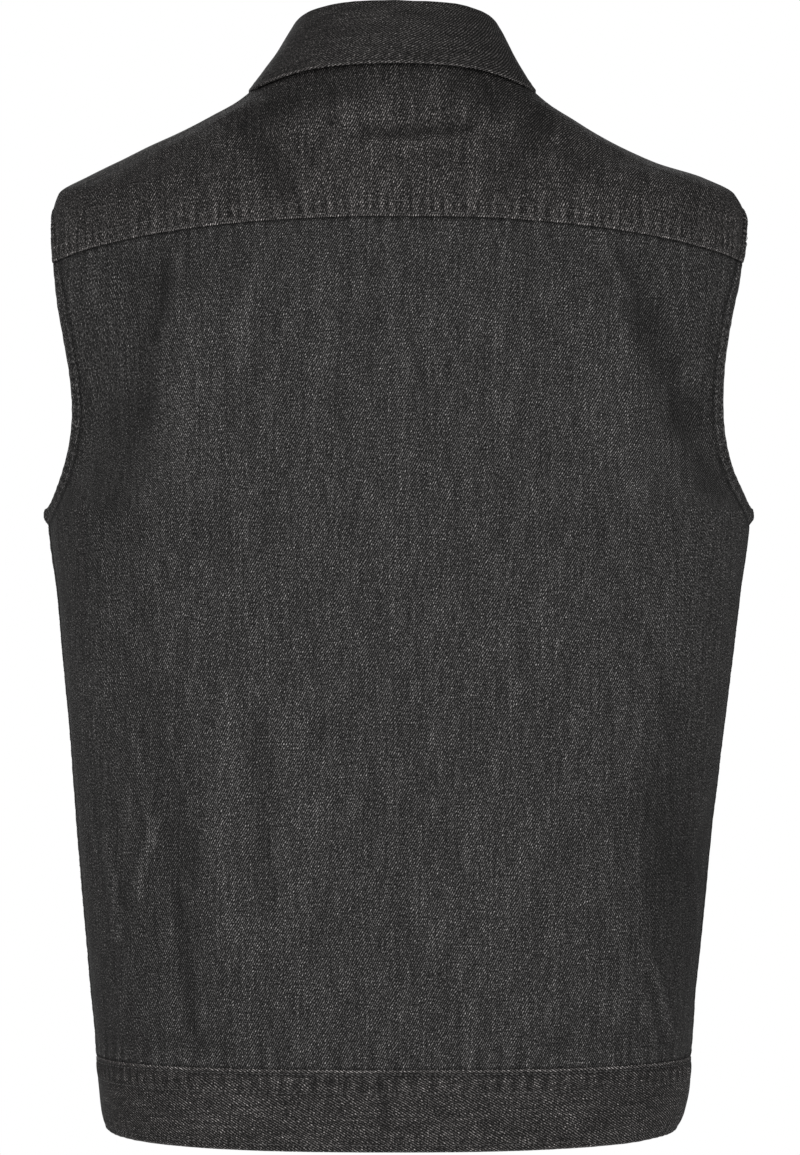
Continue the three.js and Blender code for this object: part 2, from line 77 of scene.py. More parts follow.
RING_COLUMNS = [
    "level", "half", "shift", "side", "back", "front",
    "rise_back", "rise_front", "fullness", "dip",
]
RINGS = [
    (-637, 168.0, 5.8, 0, 116, -118, -5, -3, 0.06, 0),
    (-630, 171.2, 5.4, 0, 116, -118, -5, -3, 0.06, 0),
    (-618, 175.6, 4.4, 0, 116, -118, -4, -3, 0.06, 0),
    (-604, 178.0, 3.6, 0, 116, -118, -3, -3, 0.06, 0),
    (-585, 179.6, 3.8, 0, 114, -118, -1.4, -3, 0.06, 0),
    (-527, 185.3, 3.4, 0, 110, -120, -0.4, 0, 0.06, 0),
    (-455, 192.2, 2.6, 0, 112, -123, 0, 0, 0.05, 0),
    (-380, 198.9, 1.6, 0, 117, -125, 0, 0, 0.05, 0),
    (-310, 206.4, 0.8, 0, 124, -127, 0, 0, 0.04, 0),
    (-254, 212.8, 0.6, 2, 128, -127, 0, 0, 0.04, 0),
    (-200, 212.0, 1.6, 3, 130, -125, 8, -8, 0.03, 0),
    (-150, 212.4, 3.0, 5, 127, -119, 15, -20, 0.03, 1),
    (-106, 211.0, 1.0, 7, 112, -109, 25, -34, 0.04, 2),
    (-80, 210.4, 0.4, 8, 105, -103, 25, -42, 0.04, 7),
    (-63, 204.6, 2.1, 8, 98, -96, 21, -49, 0.04, 11),
    (-53, 186.7, 3.2, 7, 94, -92, 19, -53, 0.04, 11),
    (-44, 163.5, 8.2, 6, 90, -88, 17, -57, 0.03, 9),
    (-35, 144.4, 9.2, 5, 87, -86, 16, -60, 0.03, 7),
    (-26, 126.2, 7.8, 4, 84, -83, 15, -64, 0.02, 5),
    (-17, 110.4, 6.2, 3, 80, -80, 14, -68, 0.02, 3),
    (-8, 95.6, 5.2, 2, 77, -77, 12, -73, 0.01, 2),
    (1, 84.0, 4.6, 1, 73, -74, 11, -77, 0, 1),
    (8, 75.0, 4.0, 0, 70, -72, 10, -80, 0, 0),
    (14, 69.5, 3.8, 0, 67, -70, 10, -82, 0, 0),
]

# The centre lines stay straight where the shoulders lean: levels, and how far over they lie
CENTRE_SHIFT = ([-637, -585, -455, -254, -80, 14], [5.8, 3.8, 2.6, 0.6, 0.4, 3.4])

# Soft troughs (depth below 0) and ridges (above 0), each along a straight run on one face. The
# columns are from_x, from_z, to_x, to_z, width and depth
FOLDS = {
    "back": [
        (-166, -380, -170, -460, 24, -1.8),
        (-170, -460, -174, -540, 20, -1.5),
        (-134, -112, -148, -140, 13, -1.7),
        (-148, -140, -172, -196, 14, -2.4),
        (-172, -196, -188, -236, 12, -2.6),
        (-112, -150, -140, -235, 20, 1.6),
        (149, -120, 158, -196, 17, -2.0),
        (158, -196, 172, -250, 16, -1.6),
        (122, -120, 128, -250, 21, 1.3),
        (168, -572, 116, -574, 14, -1.3),
        (-98, -572, -142, -570, 14, -1.0),
        (150, -365, 130, -460, 17, -1.4),
        (132, -450, 118, -555, 16, -1.2),
        (101, -345, 104, -535, 17, 1.3),
        (58, -350, 62, -520, 17, 1.1),
        (80, -380, 83, -500, 13, -0.8),
        (-60, -400, -52, -540, 20, 1.1),
        (20, -30, -40, -27, 5.5, -2.2),
        (16, -38, -34, -34, 5, 1.1),
        (-34, -34, -52, -28, 5, 0.9),
        (30, -20, 22, -66, 16, 2.2),
        (92, -24, 70, -60, 12, -2.2),
        (-84, -24, -64, -58, 12, -2.2),
    ],
    "front": [
        (150, -110, 128, -190, 16, -2.8),
        (-146, -116, -130, -205, 17, -2.6),
        (128, -190, 96, -262, 14, -2.0),
        (100, -330, 112, -540, 19, 2.2),
        (-88, -350, -104, -560, 20, 2.0),
        (146, -350, 160, -590, 17, -2.9),
        (-140, -370, -162, -590, 16, -2.6),
        (62, -572, 112, -570, 13, -1.3),
        (-58, -573, -118, -570, 14, -1.4),
        (62, -280, 50, -450, 18, -1.7),
        (-52, -270, -64, -475, 17, -1.6),
    ],
}

# Finer creases, in the same columns
FINE_FOLDS = {
    "back": [
        (-128, -330, -136, -420, 5.0, 0.3),
        (-136, -420, -146, -520, 6.0, 0.3),
        (-152, -528, -164, -570, 3.6, 0.9),
        (-148, -534, -158, -572, 4.0, -0.5),
        (158, -392, 146, -452, 4.0, 0.8),
        (146, -440, 158, -484, 4.0, 0.8),
        (176, -450, 170, -510, 4.0, 0.9),
        (132, -486, 124, -560, 5.0, -0.9),
        (140, -110, 146, -150, 5.0, -1.0),
        (-120, -96, -134, -126, 4.5, 0.9),
        (6, -110, 2, -190, 7.0, 0.5),
        (-62, -112, -58, -170, 6.0, 0.5),
        (44, -108, 50, -200, 7.0, 0.5),
        (84, -108, 96, -168, 7.0, 0.6),
        (41, -2, 42, -24, 4.0, -1.2),
        (42, -24, 52, -46, 5.0, -1.0),
        (10, -6, 6, -24, 5.0, 1.0),
        (-20, -4, -24, -28, 5.0, 0.9),
        (-96, -40, -122, -62, 6.0, -0.8),
        (112, -44, 140, -70, 6.0, -0.8),
    ],
    "front": [
        (132, -300, 128, -372, 5.0, 0.9),
        (-120, -296, -112, -366, 5.0, 0.8),
        (40, -120, 34, -190, 6.0, 0.7),
        (-44, -126, -36, -182, 6.0, 0.7),
    ],
}

# Painted shade, mostly towards the sides and beneath the collar: a share of the cloth's
# lightness, in the same columns. Where the photo's cloth is evenly darker: a share of
# its lightness, in the same columns
PAINTED_SHADES = {
    "back": [
        (190, -130, 190, -360, 34, -0.13),
        (192, -360, 162, -560, 38, -0.12),
        (180, -560, 176, -640, 42, -0.12),
        (128, -112, 150, -150, 20, -0.06),
        (-165, -400, -160, -640, 30, -0.06),
        (-154, -432, -160, -510, 22, -0.14),
        (168, -70, 140, -96, 30, -0.08),
        (84, -16, 26, -5, 9, -0.24),
        (80, -14, 64, -9, 6, -0.20),
        (-36, -4, -84, -15, 9, -0.20),
        (-51, -2, -58, -22, 4, -0.22),
    ],
}

COLLAR_COLUMNS = ["angle", "crest_x", "crest_z", "edge_angle", "edge_level", "lift", "bulge"]
COLLAR_RUN = [
    (0, 57.0, 50, 0, -2.4, 6.4, 2.0),
    (30, 57.5, 49.2, 30, -2.5, 5.4, 2.0),
    (55, 59.0, 46.6, 55, -2.8, 2.7, 0.8),
    (75, 60.0, 42.4, 75, -2.0, 0.9, -0.8),
    (90, 60.5, 37, 90, -1.0, 0.5, -1.8),
    (110, 60.5, 22, 109, -6.4, 1.6, 1.2),
    (130, 59.5, 2, 128, -19.5, 3.2, 3.4),
    (150, 61.0, -20, 145, -36, 3.4, 3.4),
    (165, 62.0, -36, 157, -52, 3.4, 2.6),
    (176, 62.0, -43, 166, -66, 3.4, 2.0),
]
COLLAR_END_ANGLE = 176.0
COLLAR_DEPTH = 62.0
COLLAR_SHIFT = 2.6
COLLAR_FOOT = 3.0
COLLAR_GAP = 0.15
COLLAR_ROLL = {"reach": 3.6, "inner": 6.0, "outer": 4.6}
YOKE_WALL = 2.2

# Shares of the way along the collar's eight guide points
ROLL_START = 3 / 7
LEAF_START = 5 / 7

# Cloth, as sewn: how thick a layer is, and how far a piece stands out from the body surface

LAYER = 1.0
YOKE_LAYER = 1.3
YOKE_RISE = 0.45
YOKE_ALLOWANCE = {"height": 0.35, "from": 11.0, "to": 14.0}
BAND_LAYER = 2.4
BAND_RISE = 1.1
BAND_TUCK = 2.5
BAND_ROLL = {"depth": 0.9, "width": 0.8}
BAND_LAP = {"height": 3.3, "from_angle": 170.0, "to_angle": 175.0}
# A dent at the centre back with painted shade in it: place, width, depth and shade
BAND_DENT = {"x": 9.0, "width": 3.5, "depth": 0.7, "shade": 0.22}
BAND_BULGE = {"angle": -74.0, "width": 9.0, "height": 1.4, "paint": 0.25}
HEM_FOLD = 9.0
HEM_HEIGHT = 0.55
FELL_WIDTH = 9.6
FELL_HEIGHT = 0.7
UNDERARM_POINT = {"height": 1.9, "width": 8.0, "rise": 16.0}
PLACKET_FACE = 2.7
PLACKET_WALL = {"over": 1.8, "under": 1.6}
COLLAR_WALL = 2.2
COLLAR_EDGE_ROUND = 1.1
# Painted shadow on the yoke beneath the collar: how far below its edge it fades, and how dark it is
COLLAR_SHADOW = {"fade": 13.0, "shade": 0.20}
SIDE_SEAM_ANGLE = 90.0
CENTRE_FRONT_ANGLE = 180.0

# Where each seam is worked out: angles in degrees, heights in mm, and how far from its line
ARMHOLE_ZONE = {"from_angle": 50, "to_angle": 135, "above": -285}
SIDE_ZONE = {"angle": 14, "below": -245}
SHOULDER_ZONE = {"angle": 14}
SEAM_ZONE = {"band": 46, "yoke": 40, "above_yoke": 45}

# Beside each seam, by the distance from its line, puckers: where they are tallest, how far they
# reach, their spacing and height, how much their tops are worn pale and their hollows given
# painted shade, and a seed
PUCKERS = {
    "armhole": (5.0, 4.5, 7.5, 0.30, 0.20, 31),
    "side": (4.5, 4.5, 9.0, 0.16, 0.14, 41),
    "below_yoke": (0.0, 11.0, 9.0, 0.28, 0.08, 51),
    "above_band": (0.0, 13.0, 11.0, 0.40, 0.06, 53),
    "yoke": (6.5, 5.0, 6.7, 0.42, 0.34, 57),
    "shoulder": (4.5, 4.5, 8.0, 0.30, 0.16, 59),
    "band_top": (7.5, 5.0, 8.6, 0.42, 0.28, 61),
    "band_hem": (5.0, 6.5, 13.0, 0.30, 0.10, 63),
    "placket": (5.5, 4.0, 8.5, 0.25, 0.14, 71),
    "collar": (4.0, 4.0, 7.5, 0.30, 0.12, 81),
}

# Lines pressed in beside a seam, edges that turn in, and a pale strip: the seam, then the line's
# place, width, depth and shade. The shade is painted shade in the line, and below 0 it makes the
# pale strip
GROOVES = [
    ("armhole", 0.0, 0.8, 0.50, 0.0),
    ("armhole", 1.9, 0.6, 0.15, 0.06),
    ("armhole", 7.4, 0.7, 0.22, 0.10),
    ("armhole", HEM_FOLD + 1.0, 1.4, 0.10, 0.50),
    ("side", 0.0, 0.8, 0.20, 0.30),
    ("side", FELL_WIDTH, 0.9, 0.05, 0.20),
    ("below_yoke", 0.0, 1.7, 0.30, 0.60),
    ("above_band", 0.3, 1.1, 0.35, 0.35),
    ("yoke", 0.0, 0.7, 0.40, 0.0),
    ("yoke", 2.1, 0.6, 0.15, 0.10),
    ("yoke", 9.0, 0.7, 0.15, 0.08),
    ("yoke", 5.0, 5.0, 0.0, -0.10),
    ("band_top", 2.9, 1.2, 0.30, 0.38),
    ("band_top", 13.0, 1.0, 0.22, 0.08),
    ("band_hem", 4.0, 0.9, 0.25, 0.10),
    ("placket", 0.0, 0.8, 0.60, 0.0),
    ("placket", 2.4, 0.7, 0.20, 0.12),
    ("collar", 1.8, 0.6, 0.12, 0.08),
    ("collar", 6.0, 0.8, 0.20, 0.10),
]

# Folded edges that are rubbed pale: seam, place, width and strength
RUBS = [
    ("armhole", 0.0, 0.9, 0.55),
    ("armhole", HEM_FOLD - 0.6, 0.8, 0.30),
    ("yoke", 0.0, 0.75, 0.95),
    ("shoulder", 0.0, 0.9, 0.60),
    ("band_top", 0.8, 0.62, 1.10),
    ("band_hem", 0.0, 0.8, 0.45),
    ("placket", 0.0, 0.8, 0.70),
]

# The shallow unevenness that washed denim keeps: height, cell across and along the warp, and seed
RIPPLES = [
    (0.90, 34.0, 90.0, 11),
    (0.42, 13.0, 38.0, 12),
    (0.16, 5.5, 13.0, 13),
]
RIPPLE_SHARE = {"panel": 0.55, "band": 0.45}
PANEL_RADIUS = 150.0
BAND_RADIUS = 160.0

# Painted shade in the folds' troughs and painted light on their ridges: how much a mm of fold
# lightens the cloth, and the darkest and palest that it makes it
FOLD_SHADE = {"back": 0.075, "front": 0.025}
FOLD_TONES = (0.72, 1.3)


class Curve:
    """A smooth curve through one column of a table that never swings past its own points."""

    def __init__(self, rows, column):
        self.places = np.array([row[0] for row in rows], float)
        self.values = np.array([row[column] for row in rows], float)
        slopes = np.diff(self.values) / np.diff(self.places)
        before, after = slopes[:-1], slopes[1:]
        turning = before * after <= 0
        total = np.where(turning, 1.0, before + after)
        middle = np.where(turning, 0.0, 2 * before * after / total)
        self.tangents = np.concatenate([slopes[:1], middle, slopes[-1:]])

    def __call__(self, place):
        place = np.asarray(place, float)
        low, high = self.places[0], self.places[-1]
        held = np.clip(place, low, high)
        i = np.clip(np.searchsorted(self.places, held, side="right") - 1, 0, len(self.places) - 2)
        span = self.places[i + 1] - self.places[i]
        t = (held - self.places[i]) / span
        eased = t * t * (3 - 2 * t)
        start = t * (1 - t) ** 2 * span * self.tangents[i]
        end = t * t * (1 - t) * span * self.tangents[i + 1]
        inside = self.values[i] + (self.values[i + 1] - self.values[i]) * eased + start - end
        below = np.minimum(place - low, 0) * self.tangents[0]
        above = np.maximum(place - high, 0) * self.tangents[-1]
        return inside + below + above


ring = {name: Curve(RINGS, i) for i, name in enumerate(RING_COLUMNS)}
collar_run = {name: Curve(COLLAR_RUN, i) for i, name in enumerate(COLLAR_COLUMNS)}


def smoothstep(value, low, high):
    t = np.clip((value - low) / (high - low), 0, 1)
    return t * t * (3 - 2 * t)


def bell(value, centre, width):
    """1 at the centre, and fading to nothing a few widths away."""
    return np.exp(-(((value - centre) / width) ** 2))


def unit(vectors):
    return vectors / np.maximum(np.linalg.norm(vectors, axis=-1, keepdims=True), 1e-9)


def full_turn(count):
    return np.linspace(0, 2 * math.pi, count, endpoint=False)


def run_along(line):
    """The length of a line of points from its start to each of them."""
    steps = np.linalg.norm(np.diff(line, axis=0), axis=1)
    return np.concatenate([[0.0], np.cumsum(steps)])


def run_to_last_row(grid):
    """The length from each point of a grid down its column to the last row."""
    steps = np.linalg.norm(np.diff(grid, axis=0), axis=-1)
    return np.concatenate([np.cumsum(steps[::-1], axis=0)[::-1], np.zeros((1, grid.shape[1]))])


# The body surface, in millimetres


def surface_point(angle, level):
    angle, level = np.broadcast_arrays(np.asarray(angle, float), np.asarray(level, float))
    turn = np.radians(angle)
    sine, cosine = np.sin(turn), np.cos(turn)
    corner = np.sin(2 * turn) ** 2
    full = 1 + ring["fullness"](level) * corner
    side = ring["side"](level)
    reach = np.where(cosine >= 0, ring["back"](level) - side, side - ring["front"](level))
    rise = np.where(cosine >= 0, ring["rise_back"](level), ring["rise_front"](level))
    middle = np.interp(level, *CENTRE_SHIFT)
    shift = middle + (ring["shift"](level) - middle) * sine**2
    x = shift + ring["half"](level) * sine * full
    y = side + reach * cosine * full
    z = level + rise * (1 - np.abs(sine) ** 3) - ring["dip"](level) * corner
    return np.stack([x, y, z], axis=-1)


def surface_normal(angle, level):
    step = 0.5
    along = surface_point(angle + step, level) - surface_point(angle - step, level)
    up = surface_point(angle, level + step) - surface_point(angle, level - step)
    return unit(np.cross(up, along))


def surface_gap(level, angle):
    """Millimetres per degree along the rings at these levels."""
    step = 0.5
    across = surface_point(angle + step, level) - surface_point(angle - step, level)
    return np.linalg.norm(across, axis=-1)


def fold_depth(angle, point, folds):
    """The depth that these folds add up to. A long one fades towards both of its ends."""
    on_back = np.abs(angle) < SIDE_SEAM_ANGLE
    total = np.zeros(point.shape[:-1])
    for face, rows in folds.items():
        here = on_back if face == "back" else ~on_back
        for from_x, from_z, to_x, to_z, width, depth in rows:
            run_x, run_z = to_x - from_x, to_z - from_z
            off_x, off_z = point[..., 0] - from_x, point[..., 2] - from_z
            held = np.clip((off_x * run_x + off_z * run_z) / (run_x**2 + run_z**2), 0, 1)
            away = (off_x - held * run_x) ** 2 + (off_z - held * run_z) ** 2
            fade = 1 - smoothstep(math.hypot(run_x, run_z), 90, 130) * (2 * held - 1) ** 4
            total += np.where(here, depth * fade * np.exp(-away / width**2), 0)
    return total


def soft_noise(u, v, cell_u, cell_v, seed):
    """Smooth noise from -1 to 1 with cells of the given size, the same each run."""
    size = 64
    values = np.random.default_rng(seed).uniform(-1, 1, (size, size))
    gu, gv = u / cell_u, v / cell_v
    iu, iv = np.floor(gu).astype(int), np.floor(gv).astype(int)
    tu, tv = gu - iu, gv - iv
    tu, tv = tu * tu * (3 - 2 * tu), tv * tv * (3 - 2 * tv)
    a, b = values[iu % size, iv % size], values[(iu + 1) % size, iv % size]
    c, d = values[iu % size, (iv + 1) % size], values[(iu + 1) % size, (iv + 1) % size]
    return (a * (1 - tu) + b * tu) * (1 - tv) + (c * (1 - tu) + d * tu) * tv


def cloth_ripple(angle, point):
    around = np.radians(angle) * PANEL_RADIUS
    height = point[..., 2]
    return sum(size * soft_noise(around, height, *cells) for size, *cells in RIPPLES)


# Seams: how far a place is from a line, and how far along it


def along_line(points, line):
    """Distance from each point to a line of close points, and the run along it, both in mm."""
    run = run_along(line)
    flat = points.reshape(-1, 3)
    away = np.empty(len(flat))
    place = np.empty(len(flat))
    block = 4000
    for start in range(0, len(flat), block):
        part = flat[start:start + block]
        square = ((part[:, None, :] - line[None, :, :]) ** 2).sum(-1)
        nearest = square.argmin(1)
        away[start:start + block] = np.sqrt(square[np.arange(len(part)), nearest])
        place[start:start + block] = run[nearest]
    return away.reshape(points.shape[:-1]), place.reshape(points.shape[:-1])


def line_zone(point, line, reach):
    return np.abs(point[..., 2] - np.interp(point[..., 0], line[:, 0], line[:, 2])) < reach


def pucker_wave(run, spacing, seed):
    """A row of uneven bumps along a seam, from -1 to 1."""
    warp = 0.35 * spacing * soft_noise(run, run * 0, 3.1 * spacing, 1.0, seed)
    size = 0.75 + 0.35 * soft_noise(run, run * 0, 2.3 * spacing, 1.0, seed + 1)
    return size * np.sin(2 * math.pi * (run + warp) / spacing)


def armhole_swing(turn):
    """How far the armhole reaches from the side, as a share: 0 at its bottom and its rounded top."""
    size = np.abs(np.sin(turn))
    rounding = TOP_ROUNDING * size * bell(size, 0, TOP_ROUNDING_REACH)
    return size**ARMHOLE_SHARPNESS + np.where(np.cos(turn) < 0, rounding, 0)


def armhole_level(turn):
    """The level of the armhole's edge: a turn of 0 is its bottom, and half a turn its top."""
    return ARMHOLE_BOTTOM + ARMHOLE_RISE * ((1 - np.cos(turn)) / 2) ** (1 / ARMHOLE_LEAN)


def armhole_turn(level):
    part = (level - ARMHOLE_BOTTOM) / ARMHOLE_RISE
    return math.acos(1 - 2 * part**ARMHOLE_LEAN)


def armhole_edge(count):
    """The left armhole's edge all the way round, from the underarm over the back to the underarm."""
    turn = np.linspace(0, math.pi, count)
    level = armhole_level(turn)
    swing = armhole_swing(turn)
    back = SIDE_SEAM_ANGLE - ARMHOLE_BACK_REACH * swing
    front = SIDE_SEAM_ANGLE + ARMHOLE_FRONT_REACH * swing
    angle = np.concatenate([back, front[::-1]])
    return angle, np.concatenate([level, level[::-1]])


UPPER_TURNS = np.linspace(math.pi, math.pi / 2, 800)


def upper_turn(swing):
    """The turn over the armhole's upper half at which it reaches this far."""
    return np.interp(swing, armhole_swing(UPPER_TURNS), UPPER_TURNS)


def armhole_top_level(angle):
    off_side = angle - SIDE_SEAM_ANGLE
    reach = np.where(off_side <= 0, ARMHOLE_BACK_REACH, ARMHOLE_FRONT_REACH)
    return armhole_level(upper_turn(np.abs(off_side) / reach))


YOKE_TURN = armhole_turn(YOKE_SEAM_LEVEL)
YOKE_END_ANGLE = SIDE_SEAM_ANGLE - ARMHOLE_BACK_REACH * float(armhole_swing(YOKE_TURN))
SHOULDER_SWING = (SHOULDER_SEAM_ANGLE - SIDE_SEAM_ANGLE) / ARMHOLE_FRONT_REACH
SHOULDER_TURN = float(upper_turn(SHOULDER_SWING))
SHOULDER_LEVEL = float(armhole_top_level(np.array(SHOULDER_SEAM_ANGLE)))

YOKE_LINE = surface_point(np.linspace(-YOKE_END_ANGLE, YOKE_END_ANGLE, 300), YOKE_SEAM_LEVEL)
BAND_LINE = surface_point(np.linspace(-182, 182, 700), BAND_SEAM_LEVEL)
SIDE_LEVELS = np.linspace(BAND_SEAM_LEVEL, ARMHOLE_BOTTOM, 160)
SHOULDER_LEVELS = np.linspace(SHOULDER_LEVEL, NECK_LEVEL, 90)


def on_each_side(angle, level):
    """A line on the wearer's left, 1, and its twin on the right, -1."""
    return {side: surface_point(side * angle, level) for side in (1, -1)}


ARMHOLE_LINES = on_each_side(*armhole_edge(260))
SIDE_LINES = on_each_side(SIDE_SEAM_ANGLE, SIDE_LEVELS)
SHOULDER_LINES = on_each_side(SHOULDER_SEAM_ANGLE, SHOULDER_LEVELS)


class Look:
    """What a piece's outer face has at each place: how far it stands out from the body surface, in
    mm, how light its cloth is with its painted shade and light, and how far its folded edge is
    rubbed pale."""

    def __init__(self, relief):
        self.relief = relief
        self.tone = np.ones_like(relief)
        self.worn = np.zeros_like(relief)

    def sew_along(self, seam, line, point, where, shift=0):
        """Sews a seam along a line, where its stitches matter. Gives the distances from it."""
        away, run = along_line(point[where], line)
        self.sew(seam, away, run, where, shift)
        return away

    def sew(self, seam, away, run, where=..., shift=0):
        """What a seam's stitches do to the cloth at these distances from its line."""
        centre, reach, spacing, height, paint, seed = PUCKERS[seam]
        wave = pucker_wave(run, spacing, seed + shift) * bell(away, centre, reach)
        self.relief[where] += height * wave
        # Pucker tops worn pale, and painted shade in their hollows
        self.tone[where] *= 1 + paint * wave
        for name, centre, width, depth, shade in GROOVES:
            if name == seam:
                line = bell(away, centre, width)
                self.relief[where] -= depth * line
                # Painted shade in the pressed line
                self.tone[where] *= 1 - shade * line
        for name, centre, width, strength in RUBS:
            if name == seam:
                self.worn[where] += strength * bell(away, centre, width)


def armhole_hem(look, angle, point):
    """The turned and stitched edge round an armhole: a raised, puckered band."""
    for side in (1, -1):
        size = side * angle
        near = (size > ARMHOLE_ZONE["from_angle"]) & (size < ARMHOLE_ZONE["to_angle"])
        near &= point[..., 2] > ARMHOLE_ZONE["above"]
        away = look.sew_along("armhole", ARMHOLE_LINES[side], point, near, side)
        look.relief[near] += HEM_HEIGHT * (1 - smoothstep(away, HEM_FOLD - 1.0, HEM_FOLD + 0.8))
        underarm = bell(size[near], SIDE_SEAM_ANGLE, UNDERARM_POINT["width"])
        underarm *= bell(point[near][..., 2], ARMHOLE_BOTTOM, UNDERARM_POINT["rise"])
        underarm *= 1 - smoothstep(away, 5.0, HEM_FOLD + 1.0)
        look.relief[near] += UNDERARM_POINT["height"] * underarm


def side_seam(look, angle, point):
    """The felled side seam: a raised strip on the back's side of the line."""
    for side in (1, -1):
        near = np.abs(side * angle - SIDE_SEAM_ANGLE) < SIDE_ZONE["angle"]
        near &= point[..., 2] < SIDE_ZONE["below"]
        away = look.sew_along("side", SIDE_LINES[side], point, near, side)
        on_back = side * angle[near] < SIDE_SEAM_ANGLE
        strip = 1 - smoothstep(away, FELL_WIDTH - 1.0, FELL_WIDTH + 0.2)
        look.relief[near] += FELL_HEIGHT * strip * on_back


def draped(angle, level):
    """What every panel has: its folds and ripples. Gives its points and its look."""
    angle, level = np.broadcast_arrays(np.asarray(angle, float), np.asarray(level, float))
    point = surface_point(angle, level)
    folds = fold_depth(angle, point, FOLDS) + fold_depth(angle, point, FINE_FOLDS)
    folds *= smoothstep(level - BAND_SEAM_LEVEL, 0, 16)
    look = Look(folds + RIPPLE_SHARE["panel"] * cloth_ripple(angle, point))
    # Painted shade in fold troughs, painted light on fold ridges, and painted shade towards the sides
    # and under the collar
    shade = np.where(np.abs(angle) < SIDE_SEAM_ANGLE, FOLD_SHADE["back"], FOLD_SHADE["front"])
    look.tone *= np.clip(1 + shade * folds, *FOLD_TONES)
    look.tone *= 1 + fold_depth(angle, point, PAINTED_SHADES)
    armhole_hem(look, angle, point)
    return point, look


def front_look(angle, level):
    """Panels: just above the waistband they are tucked in under its edge and pinched by its
    stitches, with creases that fade upwards."""
    point, look = draped(angle, level)
    side_seam(look, angle, point)
    look.sew_along("above_band", BAND_LINE, point, line_zone(point, BAND_LINE, SEAM_ZONE["band"]))
    look.relief -= smoothstep(BAND_SEAM_LEVEL - level, 0.2, 1.2)
    return look


def back_look(angle, level):
    look = front_look(angle, level)
    point = surface_point(angle, level)
    look.sew_along("below_yoke", YOKE_LINE, point, line_zone(point, YOKE_LINE, SEAM_ZONE["yoke"]))
    return look


def yoke_look(angle, level):
    """The yoke, with its seam allowance under it, painted shadow beneath the collar, and shoulder
    seams.
    """
    point, look = draped(angle, level)
    look.relief += YOKE_RISE
    near = (np.abs(angle) < YOKE_END_ANGLE + 3) & (level - YOKE_SEAM_LEVEL < SEAM_ZONE["above_yoke"])
    away = look.sew_along("yoke", YOKE_LINE, point, near)
    allowance = 1 - smoothstep(away, YOKE_ALLOWANCE["from"], YOKE_ALLOWANCE["to"])
    look.relief[near] += YOKE_ALLOWANCE["height"] * allowance
    # Painted shadow on the yoke beneath the collar: full under it, fading below its edge, and uneven
    edge_level = collar_run["edge_level"](np.abs(angle))
    painted_collar_shadow = bell(np.minimum(level - edge_level, 0), 0, COLLAR_SHADOW["fade"])
    uneven = 0.8 + 0.35 * soft_noise(angle * 1.3, level, 16.0, 60.0, 91)
    look.tone *= 1 - COLLAR_SHADOW["shade"] * painted_collar_shadow * uneven
    for side in (1, -1):
        near = np.abs(side * angle - SHOULDER_SEAM_ANGLE) < SHOULDER_ZONE["angle"]
        look.sew_along("shoulder", SHOULDER_LINES[side], point, near, side)
    return look


def band_look(angle, level):
    """The waistband: two layers, pinched along both stitch lines and puckered between them, with a
    dent at the centre back darkened by painted shade, painted shade towards its sides, a bulge at
    its right side, and its left end lapped over its right one."""
    angle, level = np.broadcast_arrays(np.asarray(angle, float), np.asarray(level, float))
    point = surface_point(angle, level)
    run = np.radians(angle) * BAND_RADIUS
    above = level - HEM_LEVEL
    below = BAND_SEAM_LEVEL - level
    look = Look(BAND_RISE + RIPPLE_SHARE["band"] * cloth_ripple(angle, point))
    look.sew("band_top", below, run)
    look.sew("band_hem", above, run)
    # Painted shade towards the band's sides
    look.tone *= 1 + fold_depth(angle, point, PAINTED_SHADES)
    dent = bell(point[..., 0], BAND_DENT["x"], BAND_DENT["width"]) * smoothstep(below, 1, 8)
    dent *= np.abs(angle) < SIDE_SEAM_ANGLE
    look.relief -= BAND_DENT["depth"] * dent
    # Painted shade in the dent
    look.tone *= 1 - BAND_DENT["shade"] * dent * smoothstep(above, 0, 16)
    bulge = bell(angle, BAND_BULGE["angle"], BAND_BULGE["width"])
    bulge *= smoothstep(below, 0, 8) * smoothstep(above, 0, 12)
    look.relief += BAND_BULGE["height"] * bulge
    look.tone *= 1 + BAND_BULGE["paint"] * bulge
    lap = smoothstep(angle, BAND_LAP["from_angle"], BAND_LAP["to_angle"])
    look.relief += BAND_LAP["height"] * lap
    return look


# Meshes

RESTS_ON = {
    "back_panel": ["waistband"],
    "back_yoke": ["back_panel", "front_left", "front_right"],
    "front_left": ["waistband", "back_panel"],
    "front_right": ["waistband", "back_panel"],
    "placket_left": ["front_left", "placket_right"],
    "placket_right": ["front_right"],
    "waistband": ["back_panel"],
    "collar": ["back_yoke"],
}


def add_object(data):
    thing = bpy.data.objects.new(data.name, data)
    scene.collection.objects.link(thing)
    return thing


def add_piece(mesh, node=None):
    """A smooth object of this mesh, in the vest's one body. It may stand for a node."""
    mesh.polygons.foreach_set("use_smooth", np.ones(len(mesh.polygons), bool))
    piece = add_object(mesh)
    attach(piece, "root")
    if node:
        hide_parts(node)
    return piece


